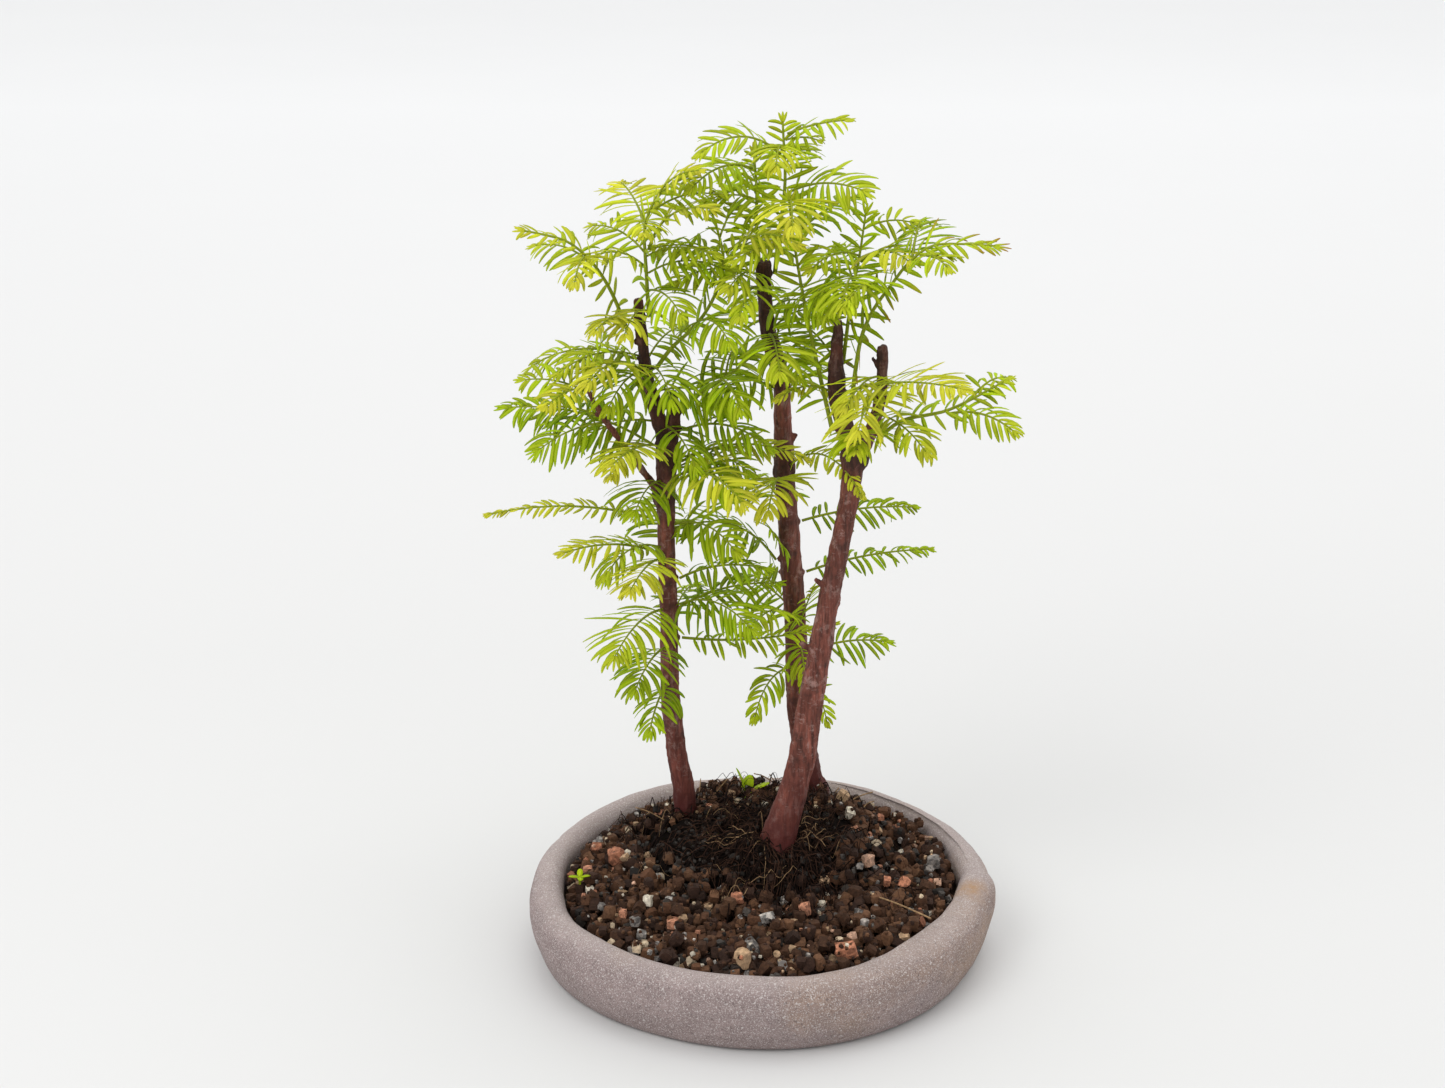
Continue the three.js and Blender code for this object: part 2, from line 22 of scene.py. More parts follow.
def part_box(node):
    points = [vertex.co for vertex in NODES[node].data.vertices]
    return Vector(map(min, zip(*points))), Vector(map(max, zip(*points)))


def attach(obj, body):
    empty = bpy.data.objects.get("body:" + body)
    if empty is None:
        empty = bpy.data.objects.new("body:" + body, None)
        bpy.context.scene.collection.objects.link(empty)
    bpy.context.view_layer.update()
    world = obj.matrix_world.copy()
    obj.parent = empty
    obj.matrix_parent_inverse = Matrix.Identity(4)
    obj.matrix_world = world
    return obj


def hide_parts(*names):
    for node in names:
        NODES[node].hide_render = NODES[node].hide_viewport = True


bl_info = {
    "name": "Forest Bonsai",
    "version": (1, 0, 0),
    "blender": (4, 5, 0),
    "location": "View3D > Sidebar > Bonsai",
    "description": "Builds a forest bonsai of dawn redwoods over its packed CAD model",
    "category": "Add Mesh",
}

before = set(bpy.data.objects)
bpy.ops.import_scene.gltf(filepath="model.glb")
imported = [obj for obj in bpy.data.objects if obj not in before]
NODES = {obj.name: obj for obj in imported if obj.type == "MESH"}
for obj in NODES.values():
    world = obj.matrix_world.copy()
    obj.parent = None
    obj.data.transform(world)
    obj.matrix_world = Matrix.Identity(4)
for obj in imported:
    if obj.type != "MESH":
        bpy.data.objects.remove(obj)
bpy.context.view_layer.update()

MM = 0.001
UP = Vector((0, 0, 1))
BODY = "root"
DISH_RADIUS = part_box("dish")[1].x

# ---------------------------------------------------------------- settings


def colour_property(name, description, default):
    return FloatVectorProperty(
        name=name, description=description, subtype="COLOR", size=3, min=0, max=1, default=default
    )


def length_property(name, description, default):
    return FloatProperty(
        name=name, description=description, unit="LENGTH", subtype="DISTANCE", default=default
    )


class DishSettings(bpy.types.PropertyGroup):
    """Sizes and colours of the stoneware dish."""

    floor: length_property("Floor", "Thickness of the dish's floor", 7 * MM)
    hole: length_property("Hole", "Radius of a drain hole", 7 * MM)
    clay: colour_property("Clay", "Main colour of the fired clay", (0.268, 0.207, 0.2))
    warm: colour_property("Warm Clay", "Where the fire turned the clay brown", (0.29, 0.195, 0.135))
    fleck: colour_property("Fleck", "Pale grit in the clay", (0.52, 0.475, 0.46))


class SoilSettings(bpy.types.PropertyGroup):
    """The grains, the peat and the roots."""

    grains: IntProperty(name="Grains", description="Number of large grains", default=1900)
    fines: IntProperty(name="Fines", description="Number of small grains", default=1900)
    settle: length_property("Settle", "Depth of loose grains over the packed soil", 3.6 * MM)
    roots: IntProperty(name="Roots", description="Number of fine roots on the mound", default=900)
    peat: colour_property("Peat", "Colour of the wet peat", (0.006, 0.0042, 0.0034))


class TrunkSettings(bpy.types.PropertyGroup):
    """The bark."""

    voxel: length_property("Voxel", "Size of the bark's facets", 0.5 * MM)
    relief: length_property("Relief", "Height of the bark's ridges", 0.42 * MM)
    bark: colour_property("Bark", "Fresh reddish bark", (0.2, 0.062, 0.043))
    weathered: colour_property("Weathered", "Flakes of old bark", (0.38, 0.24, 0.21))
    crack: colour_property("Crack", "Cracks and dead wood", (0.035, 0.016, 0.012))


class LeafSettings(bpy.types.PropertyGroup):
    """The leaflets."""

    spacing: length_property("Spacing", "Distance between two pairs of leaflets", 2.5 * MM)
    width: length_property("Width", "Width of a leaflet", 1.95 * MM)
    mature: colour_property("Mature", "Leaves of the early year", (0.17, 0.35, 0.002))
    fresh: colour_property("Fresh", "Leaves of the last weeks", (0.46, 0.62, 0.004))
    young: colour_property("Young", "Newest leaves", (0.7, 0.69, 0.045))
    twig: colour_property("Twig", "Green twigs that carry the leaflets", (0.42, 0.45, 0.12))


class StageSettings(bpy.types.PropertyGroup):
    """Floor, light and camera."""

    camera: FloatVectorProperty(
        name="Camera", description="Place of the camera", subtype="TRANSLATION", unit="LENGTH",
        default=(-0.0143, -0.8257, 0.437),
    )
    tilt: FloatProperty(
        name="Tilt", description="How far the camera looks down", unit="ROTATION", subtype="ANGLE",
        default=math.radians(18.5),
    )
    lens: FloatProperty(
        name="Lens", description="Focal length on a 36 mm wide sensor", unit="CAMERA", default=60
    )
    floor: colour_property("Floor", "Colour of the floor", (0.65, 0.65, 0.646))
    far: colour_property("Far Floor", "Colour of the floor far behind the planting", (0.84, 0.845, 0.85))
    sky: FloatProperty(name="Sky", description="Strength of the light from all round", default=1.0)


SETTINGS = {
    "dish": DishSettings,
    "soil": SoilSettings,
    "trunk": TrunkSettings,
    "leaf": LeafSettings,
    "stage": StageSettings,
}


def settings(name):
    return getattr(bpy.context.scene, f"bonsai_{name}")


# ---------------------------------------------------------------- meshes


def merged_copy(node):
    """A bmesh of a CAD node with its loose triangles joined."""
    bm = bmesh.new()
    bm.from_mesh(NODES[node].data)
    bmesh.ops.remove_doubles(bm, verts=bm.verts[:], dist=0.002 * MM)
    return bm


def linked(name, mesh):
    piece = bpy.data.objects.new(name, mesh)
    bpy.context.scene.collection.objects.link(piece)
    return piece


def mesh_of(bm, name):
    mesh = bpy.data.meshes.new(name)
    bm.to_mesh(mesh)
    bm.free()
    return mesh


def baked(piece):
    """The mesh of an object with its modifiers applied; the object itself is removed."""
    bpy.context.view_layer.update()
    mesh = bpy.data.meshes.new_from_object(piece.evaluated_get(bpy.context.evaluated_depsgraph_get()))
    bpy.data.objects.remove(piece)
    return mesh


def finished(name, mesh, materials, stands_for=(), sharp=None):
    """Makes a mesh a piece of the planting."""
    mesh.materials.clear()
    for material in materials:
        mesh.materials.append(material)
    mesh.shade_smooth()
    if sharp:
        mesh.set_sharp_from_angle(angle=math.radians(sharp))
    piece = linked(name, mesh)
    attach(piece, BODY)
    if stands_for:
        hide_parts(*stands_for)
    return piece


def remeshed(name, bm, voxel, smoothing):
    """A closed bmesh as an even skin of small quads."""
    piece = linked(name, mesh_of(bm, name))
    remesh = piece.modifiers.new("remesh", "REMESH")
    remesh.mode, remesh.voxel_size = "VOXEL", voxel
    smooth = piece.modifiers.new("smooth", "SMOOTH")
    smooth.factor, smooth.iterations = 0.5, smoothing
    skin = bmesh.new()
    mesh = baked(piece)
    skin.from_mesh(mesh)
    bpy.data.meshes.remove(mesh)
    return skin


def add_strands(bm, strands, material_index=0):
    """Adds thin round stems to a bmesh. Each strand is a list of (point, radius)."""
    curve = bpy.data.curves.new("strands", "CURVE")
    curve.dimensions = "3D"
    curve.bevel_depth, curve.bevel_resolution, curve.use_fill_caps = MM, 1, True
    for strand in strands:
        spline = curve.splines.new("POLY")
        spline.points.add(len(strand) - 1)
        for knot, (point, radius) in zip(spline.points, strand):
            knot.co, knot.radius = (*point, 1), radius / MM
    mesh = baked(linked("strands", curve))
    bpy.data.curves.remove(curve)
    first_vert, first_face = len(bm.verts), len(bm.faces)
    bm.from_mesh(mesh)
    bpy.data.meshes.remove(mesh)
    bm.faces.ensure_lookup_table()
    bm.verts.ensure_lookup_table()
    for face in bm.faces[first_face:]:
        face.material_index = material_index
    bmesh.ops.remove_doubles(bm, verts=bm.verts[first_vert:], dist=0.003 * MM)


def add_copy(bm, template, place):
    """Adds a copy of a template mesh with each corner moved by a function, and returns the corners."""
    first = len(bm.verts)
    bm.from_mesh(template)
    bm.verts.ensure_lookup_table()
    corners = bm.verts[first:]
    for corner in corners:
        corner.co = place(corner.co)
    return corners


class Spine:
    """A smooth line through points, read by share of its length."""

    def __init__(self, knots, steps=6):
        ends = [2 * knots[0] - knots[1], *knots, 2 * knots[-1] - knots[-2]]
        points = [knots[0]]
        for before, a, b, after in zip(ends, ends[1:], ends[2:], ends[3:]):
            points += interpolate_bezier(a, a + (b - before) / 6, b - (after - a) / 6, b, steps + 1)[1:]
        self.points = points
        gaps = [(b - a).length for a, b in zip(points, points[1:])]
        self.reached = np.concatenate([[0], np.cumsum(gaps)])
        self.length = float(self.reached[-1])

    def at(self, share):
        want = min(max(share, 0), 1) * self.length
        return Vector([np.interp(want, self.reached, [p[i] for p in self.points]) for i in range(3)])

    def tangent(self, share):
        return (self.at(share + 0.01) - self.at(share - 0.01)).normalized()


def heading(bearing, rise):
    """Unit direction of a bearing (0 is +X, 90 is +Y) and a rise over the horizon, in degrees."""
    turn, lift = math.radians(bearing), math.radians(rise)
    return Vector((math.cos(turn) * math.cos(lift), math.sin(turn) * math.cos(lift), math.sin(lift)))


# ---------------------------------------------------------------- materials


def shaded(colour, share):
    """A colour made darker or lighter."""
    return tuple(share * channel for channel in colour)


class Finish:
    """A material under construction. Each method adds nodes and returns their output socket."""

    def __init__(self, name):
        self.material = bpy.data.materials.new(name)
        self.material.use_nodes = True
        self.tree = self.material.node_tree
        self.tree.nodes.clear()
        self.place = self.add("ShaderNodeTexCoord").outputs["Object"]

    def add(self, kind, values=None, **options):
        """One node. The values go to its inputs: a socket is linked and anything else is set."""
        node = self.tree.nodes.new(kind)
        for key, option in options.items():
            setattr(node, key, option)
        for key, value in (values or {}).items():
            if isinstance(value, bpy.types.NodeSocket):
                self.tree.links.new(value, node.inputs[key])
            else:
                node.inputs[key].default_value = value
        return node

    def attribute(self, name, output="Fac"):
        return self.add("ShaderNodeAttribute", attribute_name=name).outputs[output]

    def coordinate(self, axis):
        return self.add("ShaderNodeSeparateXYZ", {0: self.place}).outputs[axis]

    def stretched(self, scale):
        return self.add("ShaderNodeMapping", {"Vector": self.place, "Scale": scale}).outputs[0]

    def noise(self, scale, detail=3.0, roughness=0.55, where=None):
        values = {"Vector": where or self.place, "Scale": scale, "Detail": detail, "Roughness": roughness}
        return self.add("ShaderNodeTexNoise", values).outputs[0]

    def cells(self, scale, output="Distance"):
        return self.add("ShaderNodeTexVoronoi", {"Vector": self.place, "Scale": scale}).outputs[output]

    def spread(self, value, low, high, to_low=0.0, to_high=1.0):
        """A value between low and high, stretched to a new range and held at its ends."""
        values = {0: value, 1: low, 2: high, 3: to_low, 4: to_high}
        return self.add("ShaderNodeMapRange", values, clamp=True).outputs[0]

    def maths(self, operation, a, b=0.0):
        return self.add("ShaderNodeMath", {0: a, 1: b}, operation=operation).outputs[0]

    def mix(self, share, a, b, blend="MIX"):
        a, b = (side if isinstance(side, bpy.types.NodeSocket) else (*side, 1) for side in (a, b))
        node = self.add("ShaderNodeMix", {0: share, 6: a, 7: b}, data_type="RGBA", blend_type=blend)
        return node.outputs[2]

    def bump(self, height, depth, strength=1.0):
        values = {"Height": height, "Distance": depth, "Strength": strength}
        return self.add("ShaderNodeBump", values).outputs[0]

    def surface(self, **values):
        inputs = {key.replace("_", " "): value for key, value in values.items()}
        return self.add("ShaderNodeBsdfPrincipled", inputs).outputs[0]

    def done(self, shader):
        self.add("ShaderNodeOutputMaterial", {"Surface": shader})
        return self.material


# Where a brown stain runs over the rim.
RIM_STAIN = Vector((78, -13, 29)) * MM


def stoneware_material():
    """Matte grey-brown stoneware with pale grit, brown blushes, a few iron spots and a painted highlight that
    makes the rim paler.
    """
    chosen, f = settings("dish"), Finish("stoneware")
    blush = f.spread(f.noise(16, 4), 0.5, 0.68, 0, 0.85)
    clay = f.mix(blush, chosen.clay, chosen.warm)
    mottle = f.mix(f.spread(f.noise(90, 6, 0.7), 0.35, 0.65), (0.84, 0.84, 0.84), (1.14, 1.14, 1.14))
    body = f.mix(1.0, clay, mottle, "MULTIPLY")
    bands = f.spread(f.noise(90, 6, 0.7, f.stretched((0.25, 0.25, 3))), 0.38, 0.62, 0, 0.5)
    body = f.mix(bands, body, shaded(chosen.clay, 0.75))
    grit = f.spread(f.noise(2300, 2, 0.6), 0.53, 0.65, 0, 0.8)
    sand = f.spread(f.noise(1150, 2, 0.5), 0.61, 0.68, 0, 0.9)
    body = f.mix(f.maths("MAXIMUM", grit, sand), body, chosen.fleck)
    pits = f.spread(f.noise(1100, 2, 0.5), 0.33, 0.4, 0.6, 0)
    body = f.mix(pits, body, shaded(chosen.clay, 0.4))
    # Painted highlight: above 24 mm the clay turns paler towards the top of the rim, as if the light falls
    # more strongly there.
    height = f.coordinate(2)
    body = f.mix(f.spread(height, 24 * MM, 30 * MM, 0, 0.28), body, (0.62, 0.55, 0.52))
    away = f.add("ShaderNodeVectorMath", {0: f.place, 1: RIM_STAIN}, operation="DISTANCE").outputs[1]
    stain, ragged = f.spread(away, 2 * MM, 10 * MM, 0.75, 0), f.spread(f.noise(150, 3), 0.35, 0.6)
    body = f.mix(f.maths("MULTIPLY", stain, ragged), body, (0.36, 0.21, 0.1))
    iron_pick = f.add("ShaderNodeSeparateColor", {0: f.cells(46, "Color")}).outputs[0]
    spots = f.spread(f.cells(46), 0.05, 0.09, 1, 0)
    iron = f.maths("MULTIPLY", f.maths("GREATER_THAN", iron_pick, 0.95), spots)
    body = f.mix(iron, body, (0.03, 0.02, 0.017))
    relief = f.maths("ADD", f.noise(1500, 3), f.maths("MULTIPLY", f.noise(330, 3), 1.2))
    normal = f.bump(relief, 0.2 * MM, 0.9)
    return f.done(f.surface(Base_Color=body, Roughness=0.9, Specular_IOR_Level=0.2, Normal=normal))


def bark_material():
    """Reddish bark that peels in upright flakes, darker where the wood is dead."""
    chosen, f = settings("trunk"), Finish("bark")
    upright = f.stretched((1, 1, 0.3))
    flakes = f.noise(330, 6, 0.7, upright)
    patches = f.noise(95, 3, 0.5, f.stretched((1, 1, 0.6)))
    fibres = f.noise(620, 6, 0.75, f.stretched((1, 1, 0.1)))
    bark = f.mix(f.spread(fibres, 0.38, 0.62), shaded(chosen.bark, 0.38), shaded(chosen.bark, 1.5))
    bark = f.mix(f.spread(patches, 0.4, 0.62, 0, 0.7), bark, shaded(chosen.bark, 0.45))
    scales = f.spread(flakes, 0.53, 0.66, 0, 0.6)
    scaly = f.maths("MULTIPLY", scales, f.spread(f.noise(70, 2), 0.4, 0.6, 0.35, 1))
    bark = f.mix(scaly, bark, chosen.weathered)
    cracks = f.spread(f.noise(480, 6, 0.7, f.stretched((1, 1, 0.12))), 0.34, 0.48, 1, 0)
    bark = f.mix(f.maths("MULTIPLY", cracks, 0.6), bark, chosen.crack)
    bark = f.mix(f.spread(f.noise(240, 6, 0.75), 0.55, 0.66, 0, 0.6), bark, chosen.weathered)
    bark = f.mix(f.spread(f.noise(150, 4, 0.6), 0.56, 0.68, 0, 0.6), bark, chosen.crack)
    rings = f.noise(520, 2, 0.5, f.stretched((0.45, 0.45, 2.2)))
    bark = f.mix(f.spread(rings, 0.66, 0.72, 0, 0.35), bark, chosen.weathered)
    dead = f.maths("MULTIPLY", f.attribute("dead"), f.spread(flakes, 0.62, 0.42, 0.45, 0.95))
    bark = f.mix(dead, bark, chosen.crack)
    height = f.coordinate(2)
    wet = f.maths("MULTIPLY", f.spread(height, 40 * MM, 84 * MM, 1, 0), f.spread(patches, 0.35, 0.6, 0.55, 1))
    bark = f.mix(wet, bark, (0.07, 0.011, 0.009))
    bark = f.mix(f.attribute("cut"), bark, (0.62, 0.43, 0.24))
    relief = f.maths("ADD", flakes, f.maths("MULTIPLY", fibres, 0.7))
    normal = f.bump(relief, 0.6 * MM)
    return f.done(f.surface(Base_Color=bark, Roughness=0.7, Specular_IOR_Level=0.25, Normal=normal))


def leaf_material():
    """Thin leaflets that light passes through, from green to yellow as they are younger."""
    chosen, f = settings("leaf"), Finish("leaflets")
    age, shade = f.attribute("age"), f.attribute("shade")
    older = f.mix(f.spread(age, 0, 0.5), chosen.mature, chosen.fresh)
    colour = f.mix(f.spread(age, 0.5, 1), older, chosen.young)
    lightness = f.spread(shade, 0, 1, 0.62, 1.36)
    grey = f.add("ShaderNodeCombineColor", {0: lightness, 1: lightness, 2: lightness}).outputs[0]
    colour = f.mix(1.0, colour, grey, "MULTIPLY")
    blotch = f.spread(f.noise(260, 2), 0.35, 0.7, 0, 0.22)
    colour = f.mix(blotch, colour, chosen.young)
    midrib = f.spread(f.attribute("across"), 0.12, 0.3, 0.3, 0)
    colour = f.mix(midrib, colour, tuple(min(1, 1.1 * c + 0.04) for c in chosen.young))
    reddish = f.maths("MULTIPLY", f.attribute("tip_red"), f.spread(f.attribute("along"), 0.35, 0.95))
    colour = f.mix(reddish, colour, (0.45, 0.14, 0.03))
    normal = f.bump(f.spread(f.attribute("across"), 0, 0.35), 0.12 * MM)
    blade = f.surface(Base_Color=colour, Roughness=0.55, Specular_IOR_Level=0.14, Normal=normal)
    glow = f.add("ShaderNodeBsdfTranslucent", {"Color": colour}).outputs[0]
    return f.done(f.add("ShaderNodeMixShader", {0: 0.38, 1: blade, 2: glow}).outputs[0])


def twig_material():
    """Soft green twigs, tan towards their feet."""
    chosen, f = settings("leaf"), Finish("green_twig")
    streak = f.spread(f.noise(300, 3), 0.35, 0.65)
    green = f.mix(streak, chosen.twig, shaded(chosen.twig, 0.6))
    colour = f.mix(f.attribute("woody"), green, (0.3, 0.15, 0.06))
    return f.done(f.surface(Base_Color=colour, Roughness=0.55, Specular_IOR_Level=0.3))


def grain_material():
    """Mineral grains. Each has its own tone, and granite is mottled as well."""
    f = Finish("soil_grains")
    tone = f.attribute("tone", "Color")
    mottled = f.mix(f.spread(f.cells(900, "Color"), 0.3, 0.8), (0.35, 0.35, 0.36), (1.5, 1.45, 1.4))
    tone = f.mix(f.attribute("mottled"), tone, f.mix(1.0, tone, mottled, "MULTIPLY"))
    dust = f.mix(f.spread(f.noise(700, 4, 0.65), 0.3, 0.7), (0.6, 0.58, 0.55), (1.35, 1.35, 1.35))
    tone = f.mix(1.0, tone, dust, "MULTIPLY")
    normal = f.bump(f.noise(1300, 4, 0.65), 0.4 * MM)
    return f.done(f.surface(Base_Color=tone, Roughness=0.88, Specular_IOR_Level=0.25, Normal=normal))


def earth_material(name, colour):
    """Packed earth or peat, crumbly and dark."""
    f = Finish(name)
    crumbs = f.spread(f.noise(500, 4, 0.7), 0.35, 0.7)
    tone = f.mix(crumbs, shaded(colour, 0.5), shaded(colour, 1.5))
    tone = f.mix(f.spread(f.noise(1200, 2), 0.7, 0.76), tone, (0.04, 0.023, 0.014))
    normal = f.bump(f.noise(800, 4), 0.8 * MM)
    return f.done(f.surface(Base_Color=tone, Roughness=0.95, Specular_IOR_Level=0.06, Normal=normal))


def fibre_material(name, colour):
    """Roots and straws, streaked along by fine noise."""
    f = Finish(name)
    tone = f.mix(f.spread(f.noise(600, 3), 0.3, 0.7), shaded(colour, 0.55), shaded(colour, 1.3))
    return f.done(f.surface(Base_Color=tone, Roughness=0.8, Specular_IOR_Level=0.1))


def plastic_material():
    f = Finish("drain_plastic")
    wear = f.mix(f.spread(f.noise(200, 2), 0.4, 0.7), (0.012, 0.012, 0.012), (0.03, 0.03, 0.03))
    return f.done(f.surface(Base_Color=wear, Roughness=0.5, Normal=f.bump(f.noise(900, 2), 0.1 * MM)))


# ---------------------------------------------------------------- the dish

# The dish's section from the middle of its base, out, over the rim and back in: radius and height in mm.
DISH_BASE = [(0, 0), (20, 0), (45, 0), (70, 0), (79.5, 0)]
DISH_WALL = [
    (79.5, 0), (81.2, 0.9), (82.9, 3), (85.5, 9), (87.1, 15), (87.4, 20), (86.6, 24.6), (84.2, 28),
    (80.6, 29.8), (77.4, 29.3), (75.2, 26.8), (74.5, 23), (74.3, 15), (73.2, 10), (69.5, 7),
]
DISH_FLOOR = [(69.5, 7), (50, 7), (26, 7), (0, 7)]
DISH_TURNS = 360
RIM_HEIGHT, RIM_TILT = 30, 2.3
SOIL_RADIUS = 74.5
FLAT_BASE, FLAT_FLOOR = 0.5, 69  # below this height and within this radius the dish is left flat
INNER_WALL = (66.5, 78.5)  # the inner face of the wall lies between these radii
OUTER_FACE = 80  # the outer face starts at this radius


def near(turn, middle, width):
    """1 at one place on the wall's circle, fading to both sides of it."""
    return math.exp(-(((turn - middle) / width) ** 2))


def waver(turn):
    """How far the hand-built wall strays from a true circle, as a share of its radius."""
    flats = 0.012 * near(turn, -2.25, 0.45) + 0.014 * near(turn, -0.35, 0.3)
    bulge = 0.028 * near(turn, 1.05, 0.5)
    return 1 + 0.006 * math.sin(2 * turn + 0.8) + 0.005 * math.sin(5 * turn + 2) - flats + bulge


def rim_lift(turn):
    """How much higher or lower than a level rim the dish's rim is, in mm."""
    back = max(0, math.sin(turn))
    return RIM_TILT * math.sin(turn) + 1.2 * back + 0.5 * math.sin(3 * turn + 1) + 0.35 * math.sin(7 * turn)


def rim_step(turn):
    """How far the rim's inner edge stands back, in mm: thin at the back right, wide at the front right."""
    thin, wide = min(max(turn / 1.3, 0), 1), min(max(-turn / 1.4, 0), 1)
    return 3 * math.sin(thin * math.pi) - 4 * math.sin(wide * math.pi)


def hand_built(corner, floor):
    """Moves a corner of the true round dish to where the potter's hands left it. Millimetres."""
    turn, radius = math.atan2(corner.y, corner.x), corner.xy.length
    share = min(max((corner.z - floor) / (RIM_HEIGHT - floor), 0), 1)
    step = rim_step(turn) * share if INNER_WALL[0] < radius < INNER_WALL[1] else 0
    wide = radius * waver(turn) + step
    place = Vector((math.cos(turn) * wide, math.sin(turn) * wide, corner.z + rim_lift(turn) * share))
    if corner.z < FLAT_BASE or radius < FLAT_FLOOR:
        return place
    outward = Vector((math.cos(turn), math.sin(turn), 0.25)).normalized()
    outside, inside = 2.4 * near(turn, -0.04, 0.07), 1.1 * near(turn, 0.03, 0.05)
    fold = (outside if radius > OUTER_FACE else inside) * share
    hands = 0.9 * noise.noise(place / 26) + 0.4 * noise.noise(place / 9) + 0.16 * noise.noise(place / 3)
    return place + outward * (hands + fold) * min(1, corner.z / 4)


def build_dish(chosen):
    """The wall's section spun round, shaped by hand and drilled."""
    base, wall, inside = ([Vector((r, 0, z)) for r, z in part] for part in (DISH_BASE, DISH_WALL, DISH_FLOOR))
    section = base[:-1] + Spine(wall, steps=4).points + inside[1:]
    bm = bmesh.new()
    corners = [bm.verts.new(point) for point in section]
    edges = [bm.edges.new(pair) for pair in zip(corners, corners[1:])]
    bmesh.ops.spin(
        bm, geom=corners + edges, cent=(0, 0, 0), axis=(0, 0, 1), steps=DISH_TURNS, angle=2 * math.pi,
        use_merge=True,
    )
    bmesh.ops.remove_doubles(bm, verts=bm.verts[:], dist=0.01)
    bmesh.ops.recalc_face_normals(bm, faces=bm.faces[:])
    floor = chosen.floor / MM
    for corner in bm.verts:
        corner.co = hand_built(corner.co, floor) * MM
    dish = linked("dish_blank", mesh_of(bm, "dish_blank"))
    drills = [drill_at(sign * 33 * MM, chosen) for sign in (-1, 1)]
    for drill in drills:
        cut = dish.modifiers.new("drain_hole", "BOOLEAN")
        cut.operation, cut.object, cut.solver = "DIFFERENCE", drill, "EXACT"
    mesh = baked(dish)
    for drill in drills:
        bpy.data.objects.remove(drill)
    finished("stoneware_dish", mesh, [stoneware_material()], ["dish"], sharp=50)


def drill_at(x, chosen):
    """A rod that cuts one drain hole."""
    bm = bmesh.new()
    place = Matrix.Translation((x, 0, chosen.floor / 2))
    bmesh.ops.create_cone(
        bm, cap_ends=True, segments=48, radius1=chosen.hole, radius2=chosen.hole, depth=4 * chosen.floor,
        matrix=place,
    )
    return linked("drill", mesh_of(bm, "drill"))


def build_drain_mesh():
    """A lattice of plastic cords in the place of the CAD strip."""
    low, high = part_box("drain_mesh")
    size, pitch, cord = high - low, 2.6 * MM, 0.7 * MM
    bm = bmesh.new()
    bmesh.ops.create_grid(bm, x_segments=round(size.x / pitch), y_segments=round(size.y / pitch), size=0.5)
    bmesh.ops.scale(bm, verts=bm.verts[:], vec=(size.x - 0.8 * MM, size.y - 0.8 * MM, 1))
    bmesh.ops.translate(bm, verts=bm.verts[:], vec=(low + high) / 2)
    bmesh.ops.wireframe(
        bm, faces=bm.faces[:], thickness=cord, use_boundary=True, use_even_offset=True, use_replace=True
    )
    bmesh.ops.recalc_face_normals(bm, faces=bm.faces[:])
    mesh = mesh_of(bm, "drain_lattice")
    finished("drain_lattice", mesh, [plastic_material()], ["drain_mesh"], sharp=40)


# ---------------------------------------------------------------- the soil

MOUND_LOW, MOUND_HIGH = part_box("root_ball")
# The peat is heaped round the foot of the front trunk: where, how high and how wide.
HEAP, HEAP_HEIGHT, HEAP_WIDTH = Vector((4 * MM, -1 * MM)), 4.5 * MM, 11 * MM
OPEN_PEAT = 26 * MM  # in front of this the mound stays free of grains
FINE_SOIL = 20 * MM  # behind this the grains are smaller


class Ground:
    """The height of the planting's surface on a fine grid, which rises as grains are dropped on it."""

    cell = 0.8 * MM

    def __init__(self, half):
        self.half = half
        count = int(2 * half / self.cell) + 1
        self.heights = np.full((count, count), -1.0)
        steps = np.linspace(-half, half, count)
        self.x, self.y = np.meshgrid(steps, steps, indexing="ij")

    def add_surface(self, bm):
        """Raises the grid to a mesh that is finer than it."""
        for vert in bm.verts:
            i, j = self.cell_of(vert.co.x, vert.co.y)
            for di in (0, 1):
                for dj in (0, 1):
                    a, b = min(i + di, len(self.heights) - 1), min(j + dj, len(self.heights) - 1)
                    self.heights[a, b] = max(self.heights[a, b], vert.co.z)

    def fill(self):
        """Gives the cells that no surface reached, such as those inside a trunk, their neighbours' height."""
        while (self.heights < 0).any():
            near_by = np.pad(self.heights, 1, mode="edge")
            sides = [near_by[1:-1, :-2], near_by[1:-1, 2:], near_by[:-2, 1:-1], near_by[2:, 1:-1]]
            around = np.maximum.reduce(sides)
            self.heights = np.where(self.heights < 0, around, self.heights)

    def cell_of(self, x, y):
        last = len(self.heights) - 1
        return tuple(min(max(int((v + self.half) / self.cell), 0), last) for v in (x, y))

    def height(self, x, y):
        return float(self.heights[self.cell_of(x, y)])

    def drop(self, x, y, radius):
        """Lets a ball fall, which sinks a little between what lies there. Returns its centre's height."""
        i, j = self.cell_of(x, y)
        reach = int(radius / self.cell) + 1
        rows, columns = slice(max(i - reach, 0), i + reach + 1), slice(max(j - reach, 0), j + reach + 1)
        off = (self.x[rows, columns] - x) ** 2 + (self.y[rows, columns] - y) ** 2
        under = off < max(radius, self.cell) ** 2
        cap = np.sqrt(np.maximum(radius * radius - off, 0))
        rest = self.heights[rows, columns] + 0.55 * cap
        centre = float(np.quantile(rest[under], 0.8))
        self.heights[rows, columns] = np.where(
            under, np.maximum(self.heights[rows, columns], centre + 0.8 * cap), self.heights[rows, columns]
        )
        return centre


def inner_edge(turn):
    """Radius of the dish's inside at soil level, in metres."""
    return (SOIL_RADIUS * waver(turn) + 0.8 * rim_step(turn)) * MM


